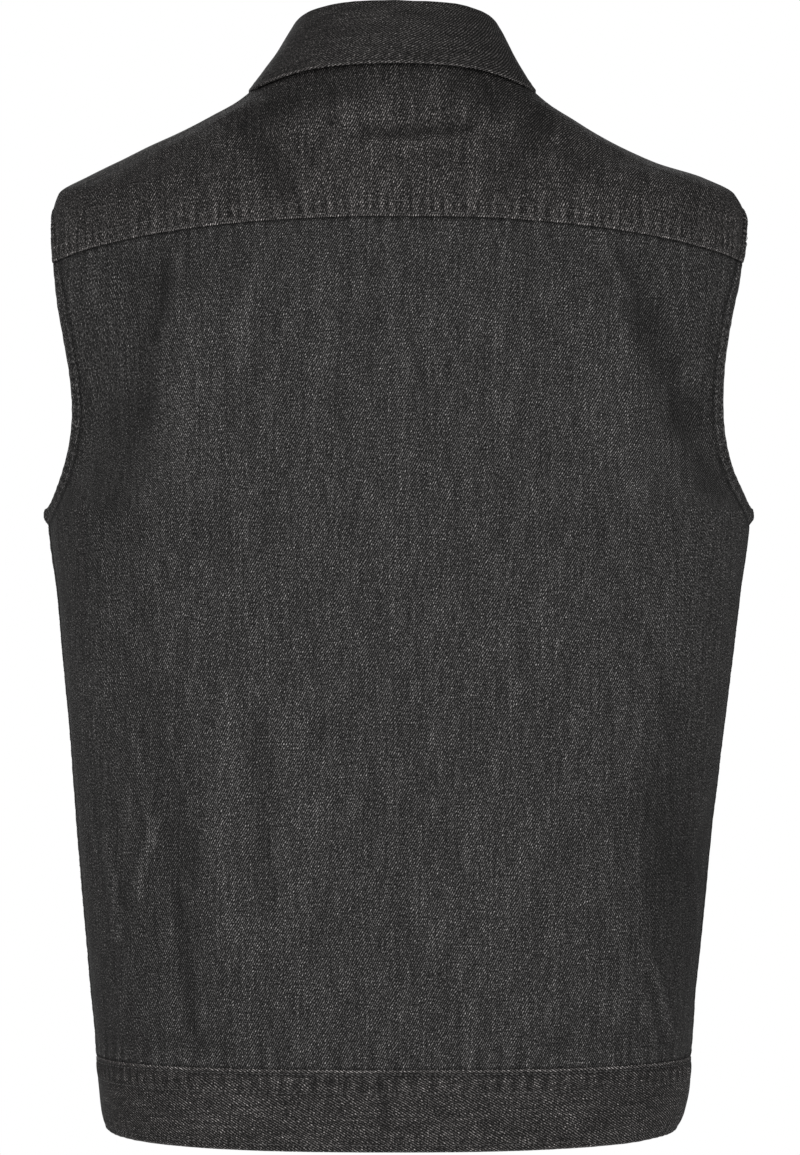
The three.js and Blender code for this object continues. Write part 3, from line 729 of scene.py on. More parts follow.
def add_cloth(node, outer, inner, look, materials, weave=None):
    """A closed thin shell from two grids of points in mm. Its inner face takes the second material,
    and its map is the cloth's own coordinates, in metres."""
    rows, columns = outer.shape[:2]
    count = rows * columns
    points = np.concatenate([outer.reshape(-1, 3), inner.reshape(-1, 3)]) * MM
    index = np.arange(count).reshape(rows, columns)
    a, b, c, d = index[:-1, :-1], index[1:, :-1], index[1:, 1:], index[:-1, 1:]
    front = np.stack([a, b, c, d], -1).reshape(-1, 4)
    back = np.stack([a, d, c, b], -1).reshape(-1, 4) + count
    loop = np.concatenate([index[:, 0], index[-1, 1:], index[-2::-1, -1], index[0, -2:0:-1]])
    after = np.roll(loop, -1)
    rim = np.stack([after, loop, loop + count, after + count], -1)
    faces = np.concatenate([front, back, rim])
    mesh = bpy.data.meshes.new(f"{node}_cloth")
    mesh.vertices.add(len(points))
    mesh.vertices.foreach_set("co", points.ravel())
    mesh.loops.add(faces.size)
    mesh.loops.foreach_set("vertex_index", faces.ravel().astype(np.int32))
    mesh.polygons.add(len(faces))
    mesh.polygons.foreach_set("loop_start", np.arange(0, faces.size, 4, dtype=np.int32))
    slot = np.zeros(len(faces), np.int32)
    slot[len(front):len(front) + len(back)] = 1
    mesh.update(calc_edges=True)
    mesh.polygons.foreach_set("material_index", slot)
    for material in materials:
        mesh.materials.append(material)
    weave = weave_grid(outer) if weave is None else weave
    both = np.concatenate([weave.reshape(-1, 2)] * 2) * MM
    mesh.uv_layers.new(name="weave").data.foreach_set("uv", both[faces.ravel()].ravel())
    # Wear pales the raised cloth, and painted shade darkens what lies in a crease
    tone = look.tone * relief_wear_and_shade(look.relief)
    for label, values in (("tone", tone), ("worn", np.clip(look.worn, 0, 1))):
        flat = np.concatenate([values.ravel()] * 2).astype(np.float32)
        mesh.attributes.new(label, "FLOAT", "POINT").data.foreach_set("value", flat)
    mesh.validate()
    piece = add_piece(mesh, node)
    width, length, area = flat_size(outer)
    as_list(RESTS_ON[node])


def flat_size(points):
    """The longest row and column of a grid in mm, in metres, and its area in square metres."""
    width = float(np.linalg.norm(np.diff(points, axis=1), axis=-1).sum(axis=1).max()) * MM
    length = float(np.linalg.norm(np.diff(points, axis=0), axis=-1).sum(axis=0).max()) * MM
    along = points[:-1, 1:] - points[:-1, :-1]
    up = points[1:, :-1] - points[:-1, :-1]
    area = float(np.linalg.norm(np.cross(along, up), axis=-1).sum()) * MM * MM
    return width, length, min(area, width * length)


def weave_grid(points, fanned_from=None):
    """The cloth's own coordinates on a grid: u runs right as seen from outside, v runs up. Where the
    rows from one on fan out, as on a collar's leaf, the cross threads keep to the columns."""
    across = np.linalg.norm(np.diff(points, axis=1), axis=-1)
    if fanned_from is not None:
        across = np.broadcast_to(across[fanned_from:].mean(axis=0), across.shape)
    u = -np.concatenate([np.zeros((len(points), 1)), np.cumsum(across, axis=1)], axis=1)
    middle = points.shape[1] // 2
    u -= u[:, middle:middle + 1]
    v = run_along(points[:, middle])
    return np.stack([u, np.broadcast_to(v[:, None], u.shape)], axis=-1)


def yoke_weave(points, seam):
    """The same for the yoke: u follows the seam below it and v is the distance up from it, so that
    the cross threads run level from shoulder to shoulder and the warp runs over them."""
    run = run_along(seam)
    x = points[..., 0]
    u = run[-1] / 2 - np.interp(x, seam[:, 0], run)
    back = points[..., 1] - np.interp(x, seam[:, 0], seam[:, 1])
    up = points[..., 2] - np.interp(x, seam[:, 0], seam[:, 2])
    return np.stack([u, np.hypot(back, up)], axis=-1)


def relief_wear_and_shade(relief, reach=3):
    """Lightness from relief: raised cloth rubs pale, and what lies in a crease gets painted shade."""
    smooth = relief.copy()
    for _ in range(reach):
        padded = np.pad(smooth, 1, mode="edge")
        smooth = (padded[:-2, 1:-1] + padded[2:, 1:-1] + padded[1:-1, :-2] + padded[1:-1, 2:]) / 4
    return np.clip(1 + 0.9 * (relief - smooth), 0.7, 1.4)


def ease_ends(count, crowd):
    """Places from 0 to 1 that crowd together towards both ends."""
    t = np.linspace(0, 1, count)
    return (1 - crowd) * t + crowd * smoothstep(t, 0, 1)


def crowd_last(start, count, last_count):
    """Places from 0 to 1, evenly to a start and then crowding together towards 1."""
    last = start + (1 - start) * np.linspace(0, 1, last_count)[1:] ** 0.8
    return np.concatenate([np.linspace(0, start, count), last])


def mirrored(half):
    """A row of places from 0, and their negatives before them."""
    return np.concatenate([-half[:0:-1], half])


SEAM_EDGE_ROWS = np.array([-BAND_TUCK, -1.2, -0.4, 0.2, 1.0, 2.0])


def panel_rows(count_below, count_beside, last_turn, top_level, reach):
    """Rows of a panel below and beside its armhole: the level in its middle, and the level and
    angle of its outer edge."""
    height = ARMHOLE_BOTTOM - BAND_SEAM_LEVEL
    spread = BAND_SEAM_LEVEL + height * ease_ends(count_below, 0.35)[2:-1]
    below = np.concatenate([BAND_SEAM_LEVEL + SEAM_EDGE_ROWS, spread])
    share = np.linspace(0, 1, count_beside)
    turn = share * last_turn
    beside = ARMHOLE_BOTTOM + share * (top_level - ARMHOLE_BOTTOM)
    middles = np.concatenate([below, beside])
    edges = np.concatenate([below, armhole_level(turn)])
    side = np.full(len(below), SIDE_SEAM_ANGLE)
    angles = np.concatenate([side, SIDE_SEAM_ANGLE + reach * armhole_swing(turn)])
    return middles, edges, angles


def spots_on_rows(rows, share, middle_angle):
    """Angles and levels on a panel: share is 0 in its middle and 1 on its outer edge."""
    middles, edges, angles = (column[:, None] for column in rows)
    regular = middle_angle + share * (SIDE_SEAM_ANGLE - middle_angle)
    angle = regular + smoothstep(share, 0.45, 1) * (angles - SIDE_SEAM_ANGLE)
    level = middles + smoothstep(share, 0.2, 1) * (edges - middles)
    return angle, level


def cloth_layers(angle, level, relief, thickness):
    """The outer and inner grids of a layer whose outer face has this relief."""
    point = surface_point(angle, level)
    normal = surface_normal(angle, level)
    outer = point + normal * relief[..., None]
    inner = point + normal * (relief - thickness)[..., None]
    return outer, inner


def add_panel(node, angle, level, look, materials, thickness=LAYER, weave=None):
    """A piece of cloth on the body surface."""
    outer, inner = cloth_layers(angle, level, look.relief, thickness)
    add_cloth(node, outer, inner, look, materials, weave)


# Materials


class Graph:
    """Adds shader nodes to a material or a world, and links them."""

    def __init__(self, owner):
        owner.use_nodes = True
        self.owner = owner
        self.tree = owner.node_tree
        self.tree.nodes.clear()

    def add(self, kind, inputs=None, **settings):
        """A new node. An input is a number, a colour or another node's output."""
        node = self.tree.nodes.new(kind)
        for key, value in settings.items():
            setattr(node, key, value)
        for key, value in (inputs or {}).items():
            if isinstance(value, bpy.types.NodeSocket):
                self.tree.links.new(value, node.inputs[key])
            else:
                node.inputs[key].default_value = value
        return node

    def math(self, operation, first, second=0.0, clamp=False):
        inputs = {0: first, 1: second}
        return self.add("ShaderNodeMath", inputs, operation=operation, use_clamp=clamp).outputs[0]

    def times(self, first, second):
        return self.math("MULTIPLY", first, second)

    def plus(self, first, *others):
        for other in others:
            first = self.math("ADD", first, other)
        return first

    def pair(self, x, y):
        return self.add("ShaderNodeCombineXYZ", {"X": x, "Y": y}).outputs[0]

    def noise(self, place, scale=1.0, detail=2.0, roughness=0.5, dimensions="3D"):
        inputs = {"Vector": place, "Scale": scale, "Detail": detail, "Roughness": roughness}
        return self.add("ShaderNodeTexNoise", inputs, noise_dimensions=dimensions).outputs["Fac"]

    def spread(self, value, low, high, to_low=0.0, to_high=1.0):
        """Carries a range of values over to another one, and holds what lies past its ends."""
        inputs = {
            "Value": value, "From Min": low, "From Max": high, "To Min": to_low, "To Max": to_high,
        }
        return self.add("ShaderNodeMapRange", inputs, clamp=True).outputs[0]

    def attribute(self, name):
        return self.add("ShaderNodeAttribute", attribute_name=name).outputs["Fac"]

    def colour(self, red, green, blue):
        inputs = {"Red": red, "Green": green, "Blue": blue}
        return self.add("ShaderNodeCombineColor", inputs).outputs[0]

    def bump(self, height, strength, distance):
        inputs = {"Height": height, "Strength": strength, "Distance": distance}
        return self.add("ShaderNodeBump", inputs).outputs["Normal"]

    def surface(self, inputs):
        """Ends the material in a shader with these inputs."""
        shader = self.add("ShaderNodeBsdfPrincipled", inputs)
        self.add("ShaderNodeOutputMaterial", {"Surface": shader.outputs[0]})
        return self.owner


TWILL_PITCH = 1.23
TWILL_ANGLE = 62.0
TWILL_DRIFT = {"share": 0.3, "u": 9.0, "v": 24.0}

# How strongly each thing moves the cloth's lightness, as a natural logarithm, and its size in mm
# across and along the warp
WEAVE_LINES = 1.4
DARK_CONTRAST = 0.86
LIGHTEST = 0.6
WEAVE = {
    "grain": (6.0, 0.82, 1.08),
    "fleck": (0.5, 1.3, 1.9),
    "slub": (1.45, 1.7, 24.0),
    "cross": (0.6, 9.0, 1.3),
    "cloud": (0.65, 9.0, 60.0),
}

# Shares of red, green and blue in the cloth's lightness
PLAIN = (1.0, 0.967, 0.950)
WARM = (1.0, 0.940, 0.915)
THREAD_GREY = (0.105, 0.102, 0.1)
METAL_TONES = ((0.075, 0.36), (0.066, 0.33), (0.058, 0.30))
WHITE = (1, 1, 1, 1)
PALE = (0.9, 0.9, 0.9, 1)


def denim(name, lightness, turned=False, contrast=1.0, warp=1.0, tint=PLAIN):
    """Washed black twill: steep diagonal lines, pale weft flecks and slubs along the warp."""
    g = Graph(bpy.data.materials.new(name))
    uv = g.add("ShaderNodeUVMap", uv_map="weave").outputs["UV"]
    split = g.add("ShaderNodeSeparateXYZ", {"Vector": uv})
    u = g.times(split.outputs["X"], 1 / MM)
    v = g.times(split.outputs["Y"], 1 / (MM * warp))
    if turned:
        u, v = v, g.times(u, -1.0)

    def uneven(key, detail=1.0):
        """A noise of this size about zero, at its strength."""
        strength, size_u, size_v = WEAVE[key]
        place = g.pair(g.math("DIVIDE", u, size_u), g.math("DIVIDE", v, size_v))
        noise = g.noise(place, detail=detail, dimensions="2D")
        return g.times(g.math("SUBTRACT", noise, 0.5), strength * contrast)

    lean = math.radians(TWILL_ANGLE)
    across = g.times(u, math.sin(lean) / TWILL_PITCH)
    rising = g.times(v, -math.cos(lean) / TWILL_PITCH)
    bent = g.pair(g.math("DIVIDE", u, TWILL_DRIFT["u"]), g.math("DIVIDE", v, TWILL_DRIFT["v"]))
    share = TWILL_DRIFT["share"]
    drift = g.spread(g.noise(bent, dimensions="2D"), 0.3, 0.7, -share, share)
    wave = g.math("SINE", g.times(g.plus(across, rising, drift), 2 * math.pi))
    lines = g.times(wave, WEAVE_LINES * contrast)

    grain = g.plus(uneven("grain"), uneven("fleck", 0.0))
    thick = g.plus(uneven("slub", 2.0), uneven("cross"))
    amount = g.plus(g.plus(lines, grain), g.plus(thick, uneven("cloud", 3.0)))
    tone = g.attribute("tone")
    # The weave shows less contrast where the tone is darker, chiefly where painted shade lies
    amount = g.times(amount, g.spread(tone, 0.7, 1.0, DARK_CONTRAST, 1.0))
    rope = g.plus(g.times(wave, 0.8), 1.3)
    tone = g.times(tone, g.plus(g.times(g.attribute("worn"), rope), 1.0))
    value = g.times(g.math("POWER", math.e, amount), g.times(tone, lightness))
    value = g.math("MINIMUM", value, LIGHTEST)
    height = g.plus(g.times(lines, 0.5), g.times(grain, 0.4), g.times(thick, 0.6))
    return g.surface({
        "Roughness": 0.9,
        "Specular IOR Level": 0.18,
        "Base Color": g.colour(*(g.times(value, share) for share in tint)),
        "Normal": g.bump(height, 0.5, 0.25 * MM),
    })


denim_face = denim("denim_face", 0.0183)
denim_yoke = denim("denim_yoke", 0.0170, contrast=1.08, warp=1.18, tint=WARM)
denim_band = denim("denim_band", 0.0172, turned=True, contrast=1.05, warp=1.1, tint=WARM)
denim_collar = denim("denim_collar", 0.0166, turned=True, contrast=0.88, tint=WARM)
denim_inside = denim("denim_inside", 0.11, contrast=0.6)


def thread_material():
    g = Graph(bpy.data.materials.new("thread"))
    place = g.add("ShaderNodeTexCoord").outputs["Object"]
    worn = g.spread(g.noise(place, 900.0, 1.0), 0.3, 0.7, 0.6, 1.3)
    colour = g.colour(*(g.times(worn, share) for share in THREAD_GREY))
    return g.surface({"Roughness": 0.7, "Specular IOR Level": 0.3, "Base Color": colour})


def button_metal():
    """Antique metal: brown in its hollows, rubbed pale on its ridges, with fine scratches."""
    g = Graph(bpy.data.materials.new("button_metal_finish"))
    place = g.add("ShaderNodeTexCoord").outputs["Object"]
    age = g.spread(g.noise(place, 420.0, 5.0, 0.65), 0.35, 0.68)
    rubbed = g.math("ADD", g.times(age, 0.45), g.times(g.attribute("worn"), 0.75), clamp=True)
    return g.surface({
        "Metallic": 1.0,
        "Roughness": g.spread(rubbed, 0.0, 1.0, 0.52, 0.30),
        "Base Color": g.colour(*(g.spread(rubbed, 0.0, 1.0, *tones) for tones in METAL_TONES)),
        "Normal": g.bump(g.noise(place, 2600.0), 0.25, 0.1 * MM),
    })


thread = thread_material()
metal = button_metal()

# Cloth pieces


def add_back_panel():
    rows = panel_rows(150, 92, YOKE_TURN, YOKE_SEAM_LEVEL, -ARMHOLE_BACK_REACH)
    share = mirrored(crowd_last(0.95, 84, 14))[None, :]
    angle, level = spots_on_rows(rows, np.abs(share), 0.0)
    angle = angle * np.sign(share)
    add_panel("back_panel", angle, level, back_look(angle, level), [denim_face, denim_inside])


def add_back_yoke():
    share = np.concatenate([np.linspace(0, 0.12, 22)[:-1], np.linspace(0.12, 1, 74)])[:, None]
    seam = np.linspace(0, YOKE_END_ANGLE, 170)
    over = np.linspace(YOKE_END_ANGLE, SHOULDER_SEAM_ANGLE, 34)[1:]
    angle = mirrored(np.concatenate([seam, over]))[None, :]
    size = np.abs(angle)
    bottom = np.where(size <= YOKE_END_ANGLE, YOKE_SEAM_LEVEL, armhole_top_level(size))
    level = bottom + share * (NECK_LEVEL - bottom)
    angle = np.broadcast_to(angle, level.shape)
    weave = yoke_weave(surface_point(angle, level), YOKE_LINE)
    look = yoke_look(angle, level)
    add_panel("back_yoke", angle, level, look, [denim_yoke, denim_inside], YOKE_LAYER, weave)


def front_angle(distance, level):
    """The angle at which the front lies this far to the wearer's left of the centre front."""
    return CENTRE_FRONT_ANGLE - np.degrees(np.arcsin(distance / ring["half"](level)))


def front_rows():
    rows = panel_rows(110, 84, SHOULDER_TURN, SHOULDER_LEVEL, ARMHOLE_FRONT_REACH)
    shoulder = np.linspace(SHOULDER_LEVEL, NECK_LEVEL, 60)[1:]
    over = (shoulder, shoulder, np.full(len(shoulder), SHOULDER_SEAM_ANGLE))
    return tuple(np.concatenate(pair) for pair in zip(rows, over))


FRONT_ROWS = front_rows()


def add_front(node, side):
    share = crowd_last(0.93, 72, 14)[None, :]
    middle_angle = front_angle(PLACKET_SEAM - PANEL_TUCK[side], FRONT_ROWS[0])[:, None]
    angle, level = spots_on_rows(FRONT_ROWS, share, middle_angle)
    order = slice(None, None, -side)
    angle, level = (side * angle)[:, order], level[:, order]
    add_panel(node, angle, level, front_look(angle, level), [denim_face, denim_inside])


def placket_look(angle, level, distance, from_x, to_x, proud):
    """A doubled strip between two distances from the centre front, with stitches at both edges."""
    point, look = draped(angle, level)
    reach = np.broadcast_to(np.minimum(distance - from_x, to_x - distance), level.shape)
    look.relief += proud
    look.sew("placket", reach, point[..., 2])
    return look


def add_placket(node, from_x, to_x, proud, thickness):
    distance = to_x - (to_x - from_x) * ease_ends(30, 0.6)[None, :]
    level = FRONT_ROWS[0][:, None]
    angle, level = np.broadcast_arrays(front_angle(distance, level), level)
    look = placket_look(angle, level, distance, from_x, to_x, proud)
    add_panel(node, angle, level, look, [denim_face, denim_inside], thickness)


def add_waistband():
    """The band from its right end round the back to its left end, both edges folded round."""
    start = -front_angle(-PLACKET_UNDER, BAND_SEAM_LEVEL)
    end = front_angle(-PLACKET_OVER, BAND_SEAM_LEVEL)
    rows = HEM_LEVEL + (BAND_SEAM_LEVEL - HEM_LEVEL) * ease_ends(44, 0.8)
    angle, level = np.broadcast_arrays(np.linspace(start, end, 800)[None, :], rows[:, None])
    look = band_look(angle, level)
    edges = (bell(level, edge, BAND_ROLL["width"]) for edge in (HEM_LEVEL, BAND_SEAM_LEVEL))
    roll = BAND_ROLL["depth"] * sum(edges)
    outer, inner = cloth_layers(angle, level, look.relief - roll, BAND_LAYER - 2 * roll)
    add_cloth("waistband", outer, inner, look, [denim_band, denim_inside])


def on_cloth(angle, level, offset):
    """A point this far out from the body surface with its main folds."""
    point = surface_point(angle, level)
    amount = offset + float(fold_depth(np.array(angle), point, FOLDS))
    return point + surface_normal(angle, level) * amount


def collar_guides(angle):
    """The eight points that the collar's middle surface passes through at one angle, in mm."""
    turn = math.radians(angle)
    outward = np.array([math.sin(turn), math.cos(turn), 0.0])
    run = {name: float(curve(abs(angle))) for name, curve in collar_run.items()}
    neck = surface_point(angle, NECK_LEVEL)
    step = float(np.linalg.norm(surface_point(angle, NECK_LEVEL + 1) - neck))
    foot_level = NECK_LEVEL + COLLAR_GAP / step
    foot = on_cloth(angle, foot_level, -YOKE_WALL / 2)
    up = unit(on_cloth(angle, foot_level + 1, -YOKE_WALL / 2) - foot)
    ankle = foot + up * COLLAR_FOOT
    crest_x = COLLAR_SHIFT + run["crest_x"] * math.sin(turn)
    crest = np.array([crest_x, COLLAR_DEPTH * math.cos(turn), run["crest_z"]])
    inner_roll = crest - outward * COLLAR_ROLL["reach"] - np.array([0, 0, COLLAR_ROLL["inner"]])
    outer_roll = crest + outward * COLLAR_ROLL["reach"] - np.array([0, 0, COLLAR_ROLL["outer"]])
    stand = (ankle + inner_roll) / 2
    edge = on_cloth(math.copysign(run["edge_angle"], angle), run["edge_level"], run["lift"])
    leaf = (outer_roll + edge) / 2 + outward * run["bulge"]
    return np.array([foot, ankle, stand, inner_roll, crest, outer_roll, leaf, edge])


def through_points(guides, shares):
    """A centripetal curve through guide points, at shares from 0 to 1 that count them evenly."""
    ends = np.concatenate([[2 * guides[0] - guides[1]], guides, [2 * guides[-1] - guides[-2]]])
    last = len(guides) - 1
    place = np.clip(shares * last, 0, last - 1e-9)
    i = place.astype(int)
    t = (place - i)[:, None]
    p0, p1, p2, p3 = (ends[i + k] for k in range(4))
    spans = ((p0, p1), (p1, p2), (p2, p3))
    d0, d1, d2 = (np.sqrt(np.linalg.norm(b - a, axis=1))[:, None] for a, b in spans)
    t1 = ((p1 - p0) / d0 - (p2 - p0) / (d0 + d1) + (p2 - p1) / d1) * d1
    t2 = ((p2 - p1) / d1 - (p3 - p1) / (d1 + d2) + (p3 - p2) / d2) * d1
    return p1 + t1 * t + (3 * (p2 - p1) - 2 * t1 - t2) * t**2 + (2 * (p1 - p2) + t1 + t2) * t**3


def grid_normals(grid):
    return unit(np.cross(np.gradient(grid, axis=0), np.gradient(grid, axis=1)))


def add_collar():
    """The collar from its foot up its stand, over its roll and down its leaf to its edge."""
    stand = np.linspace(0, ROLL_START, 26)[:-1]
    roll = np.linspace(ROLL_START, LEAF_START, 22)[:-1]
    leaf = LEAF_START + (1 - LEAF_START) * (1 - (1 - np.linspace(0, 1, 52)) ** 1.35)
    shares = np.concatenate([stand, roll, leaf])
    angles = np.linspace(-COLLAR_END_ANGLE, COLLAR_END_ANGLE, 420)
    middle = np.stack([through_points(collar_guides(angle), shares) for angle in angles], axis=1)
    normals = grid_normals(middle)
    from_edge = run_to_last_row(middle)
    run = np.broadcast_to(run_along(middle[-1])[None, :], from_edge.shape)
    look = Look(np.zeros(from_edge.shape))
    here = np.broadcast_to((shares > LEAF_START - 0.02)[:, None], from_edge.shape)
    away = from_edge[here]
    look.sew("collar", away, run[here] + 0.6 * away, here)
    look.relief += 0.5 * soft_noise(run, from_edge, 26.0, 15.0, 83) * smoothstep(from_edge, 0, 8)
    look.relief += 0.14 * soft_noise(run, from_edge, 6.0, 7.0, 84)
    edge_away = np.minimum(from_edge, np.minimum(run, run[:, -1:] - run))
    look.worn += bell(edge_away, 0, 0.8)
    rolled = np.clip(edge_away / COLLAR_EDGE_ROUND, 0, 1)
    half_wall = COLLAR_WALL / 2 * np.sqrt(np.clip(1 - (1 - rolled) ** 2, 0.02, 1))
    outer = middle + normals * (half_wall + look.relief)[..., None]
    inner = middle - normals * (half_wall - 0.5 * look.relief)[..., None]
    weave = weave_grid(outer, len(stand) + len(roll))
    add_cloth("collar", outer, inner, look, [denim_collar, denim_collar], weave)
    return outer


add_back_panel()
add_back_yoke()
add_front("front_left", 1)
add_front("front_right", -1)
add_placket("placket_left", -PLACKET_OVER, PLACKET_SEAM, PLACKET_FACE, PLACKET_WALL["over"])
add_placket("placket_right", -PLACKET_SEAM, PLACKET_UNDER, 0.0, PLACKET_WALL["under"])
add_waistband()
collar_outer = add_collar()

# Stitches: short joined lengths of thread, each dipping into the cloth at its ends

STITCH_SIDES = 5
STITCH_RADIUS = 0.27
STITCH_PITCH = 3.5
STITCH_SHARE = 0.78
SIDE_SINK = 0.2

# How far from its piece's edge each row of stitches runs
STITCH_LINES = {
    "yoke": (2.1, 9.0),
    "band_top": (2.8, 13.0),
    "band_hem": (4.0,),
    "armhole": (1.9, 7.4),
    "side": (2.0, 8.0),
    "collar": (6.0,),
    "placket": (2.4,),
}

# Along a stitch: the share of its length, of its radius, and its lift from the cloth
STITCH_RINGS = ((0.0, 0.55, -0.22), (0.5, 1.0, 0.10), (1.0, 0.55, -0.22))


def step_inside(angle, level, distance):
    """The angles and levels that lie this far from a line on the body surface, on its left."""
    point = surface_point(angle, level)
    along = unit(np.gradient(point, axis=0))
    across = unit(np.cross(surface_normal(angle, level), along)) * distance
    step = 0.05
    by_angle = (surface_point(angle + step, level) - point) / step
    by_level = (surface_point(angle, level + step) - point) / step
    aa, bb, ab = (by_angle**2).sum(-1), (by_level**2).sum(-1), (by_angle * by_level).sum(-1)
    fa, fb = (by_angle * across).sum(-1), (by_level * across).sum(-1)
    size = aa * bb - ab**2
    return angle + (fa * bb - fb * ab) / size, level + (fb * aa - fa * ab) / size


def on_piece(look_of, angle, level):
    """Points on a piece's outer face along a line, and which way it faces there."""
    look = look_of(angle, level)
    normal = surface_normal(angle, level)
    return surface_point(angle, level) + normal * look.relief[..., None], normal


def stitch_row(point, normal, sink=0.0):
    """Cuts a line into stitches. Gives each one's two ends and the cloth's facing there."""
    point = point - normal * sink
    run = run_along(point)
    count = int(run[-1] / STITCH_PITCH)
    starts = (np.arange(count) + 0.5) * run[-1] / count
    half = STITCH_PITCH * STITCH_SHARE / 2

    def at(place, values):
        return np.stack([np.interp(place, run, values[:, k]) for k in range(3)], -1)

    return at(starts - half, point), at(starts + half, point), unit(at(starts, normal))


def add_stitches(name, rows):
    """One object with every stitch of the rows, in mm, each a thin bar with sunk, tapered ends."""
    start, end, facing = (np.concatenate(column) for column in zip(*rows))
    across = unit(np.cross(facing, end - start))
    rings = []
    for share, radius, lift in STITCH_RINGS:
        middle = start + (end - start) * share + facing * lift
        size = STITCH_RADIUS * radius
        for turn in full_turn(STITCH_SIDES):
            rings.append(middle + across * (size * math.cos(turn)) + facing * (size * math.sin(turn)))
    points = np.stack(rings, axis=1)
    index = np.arange(points.shape[1]).reshape(-1, STITCH_SIDES)
    after = np.roll(index, -1, axis=1)
    sides = np.stack([index[:-1], after[:-1], after[1:], index[1:]], -1).reshape(-1, 4)
    caps = np.stack([index[0, ::-1], index[-1]])
    first = np.arange(len(points))[:, None, None] * points.shape[1]
    quads = (sides + first).reshape(-1, 4)
    ends = (caps + first).reshape(-1, STITCH_SIDES)
    mesh = bpy.data.meshes.new(name)
    mesh.from_pydata((points.reshape(-1, 3) * MM).tolist(), [], quads.tolist() + ends.tolist())
    mesh.materials.append(thread)
    add_piece(mesh)


def level_row(look_of, from_angle, to_angle, level, count):
    angle = np.linspace(from_angle, to_angle, count)
    return stitch_row(*on_piece(look_of, angle, np.full(count, float(level))))


def beside_armhole(angle, level):
    """The look of whichever piece has this place beside an armhole."""
    size = np.abs(angle)
    on_yoke = (size < SHOULDER_SEAM_ANGLE) & (level > YOKE_SEAM_LEVEL)
    look = back_look(angle, level)
    for here, look_of in ((on_yoke, yoke_look), (~on_yoke & (size > SIDE_SEAM_ANGLE), front_look)):
        look.relief[here] = look_of(angle[here], level[here]).relief
    return look


def armhole_rows():
    angle, level = armhole_edge(420)
    for side in (1, -1):
        for away in STITCH_LINES["armhole"]:
            inside = step_inside(side * angle, level, -side * away)
            yield stitch_row(*on_piece(beside_armhole, *inside))


def side_rows():
    """Two rows behind each side seam and each shoulder seam."""
    sides = np.linspace(BAND_SEAM_LEVEL + 2, ARMHOLE_BOTTOM - 9, 500)
    shoulders = np.linspace(SHOULDER_LEVEL - 4, NECK_LEVEL - 2, 300)
    for side in (1, -1):
        for look_of, seam_angle, levels, sink in (
            (back_look, SIDE_SEAM_ANGLE, sides, SIDE_SINK),
            (yoke_look, SHOULDER_SEAM_ANGLE, shoulders, 0.0),
        ):
            for away in STITCH_LINES["side"]:
                angle = side * (seam_angle - away / surface_gap(levels, seam_angle))
                yield stitch_row(*on_piece(look_of, angle, levels), sink)


def collar_row(grid, inset):
    """The row on the collar's leaf that follows its edge, this far from it."""
    away = run_to_last_row(grid)
    facing = grid_normals(grid)
    columns = range(6, grid.shape[1] - 6)

    def at_inset(values):
        return np.array([
            [np.interp(inset, away[::-1, column], values[::-1, column, k]) for k in range(3)]
            for column in columns
        ])

    return stitch_row(at_inset(grid), unit(at_inset(facing)))


band_levels = [BAND_SEAM_LEVEL - away for away in STITCH_LINES["band_top"]]
band_levels += [HEM_LEVEL + away for away in STITCH_LINES["band_hem"]]
add_stitches("stitches_yoke", [
    level_row(yoke_look, -YOKE_END_ANGLE, YOKE_END_ANGLE, YOKE_SEAM_LEVEL + away, 900)
    for away in STITCH_LINES["yoke"]
])
add_stitches("stitches_waistband", [
    level_row(band_look, -174, 176, level, 2400) for level in band_levels
])
add_stitches("stitches_armholes", list(armhole_rows()))
add_stitches("stitches_sides", list(side_rows()))
add_stitches("stitches_collar", [collar_row(collar_outer, away) for away in STITCH_LINES["collar"]])

# Plackets: a line beside each edge, and a worked buttonhole round each button

BUTTON_COUNT = 6
BUTTON_FIRST = -124.0
BUTTON_LAST = -612.0
HOLE_HALF = 12.0
HOLE_HEIGHT = 1.1
HOLE_SHIFT = 2.5
HOLE_BARS = 46
BAR_LENGTH = 1.9


def left_placket_look(angle, level):
    distance = np.sin(np.radians(CENTRE_FRONT_ANGLE - angle)) * ring["half"](level)
    return placket_look(angle, level, distance, -PLACKET_OVER, PLACKET_SEAM, PLACKET_FACE)


def placket_rows():
    levels = np.linspace(BAND_SEAM_LEVEL + 2, NECK_LEVEL - 4, 1200)
    for away in STITCH_LINES["placket"]:
        for distance in (-PLACKET_OVER + away, PLACKET_SEAM - away):
            angle = front_angle(distance, levels)
            yield stitch_row(*on_piece(left_placket_look, angle, levels))


def button_seats():
    """The point and the facing of the cloth at each button, from the neck down."""
    levels = np.linspace(HEM_LEVEL, NECK_LEVEL, 1600)
    heights = surface_point(CENTRE_FRONT_ANGLE, levels)[:, 2]
    for height in np.linspace(BUTTON_FIRST, BUTTON_LAST, BUTTON_COUNT):
        level = np.interp([height], heights, levels)
        look_of = band_look if height == BUTTON_LAST else left_placket_look
        point, normal = on_piece(look_of, np.array([CENTRE_FRONT_ANGLE - 0.01]), level)
        yield point[0], normal[0]


def right_and_up(facing):
    right = unit(np.cross(facing, np.array([0.0, 0.0, 1.0])))
    return right, unit(np.cross(right, facing))


def buttonhole(point, facing):
    """Short bars of thread that stand out all round a slit."""
    right, up = right_and_up(facing)
    turns = full_turn(HOLE_BARS)[:, None]
    cosine, sine = np.cos(turns), np.sin(turns)
    middle = point + right * (HOLE_HALF * cosine - HOLE_SHIFT) + up * (HOLE_HEIGHT * sine)
    starts = middle + facing * 0.1
    out = unit(right * cosine * 0.25 + up * sine)
    return starts, starts + out * BAR_LENGTH, np.broadcast_to(facing, starts.shape)


seats = list(button_seats())
holes = [buttonhole(*seat) for seat in seats]
add_stitches("stitches_plackets", [*placket_rows(), *holes])

# Buttons: a pressed cap with a rolled rim, a dished face with a raised ring, and a shank

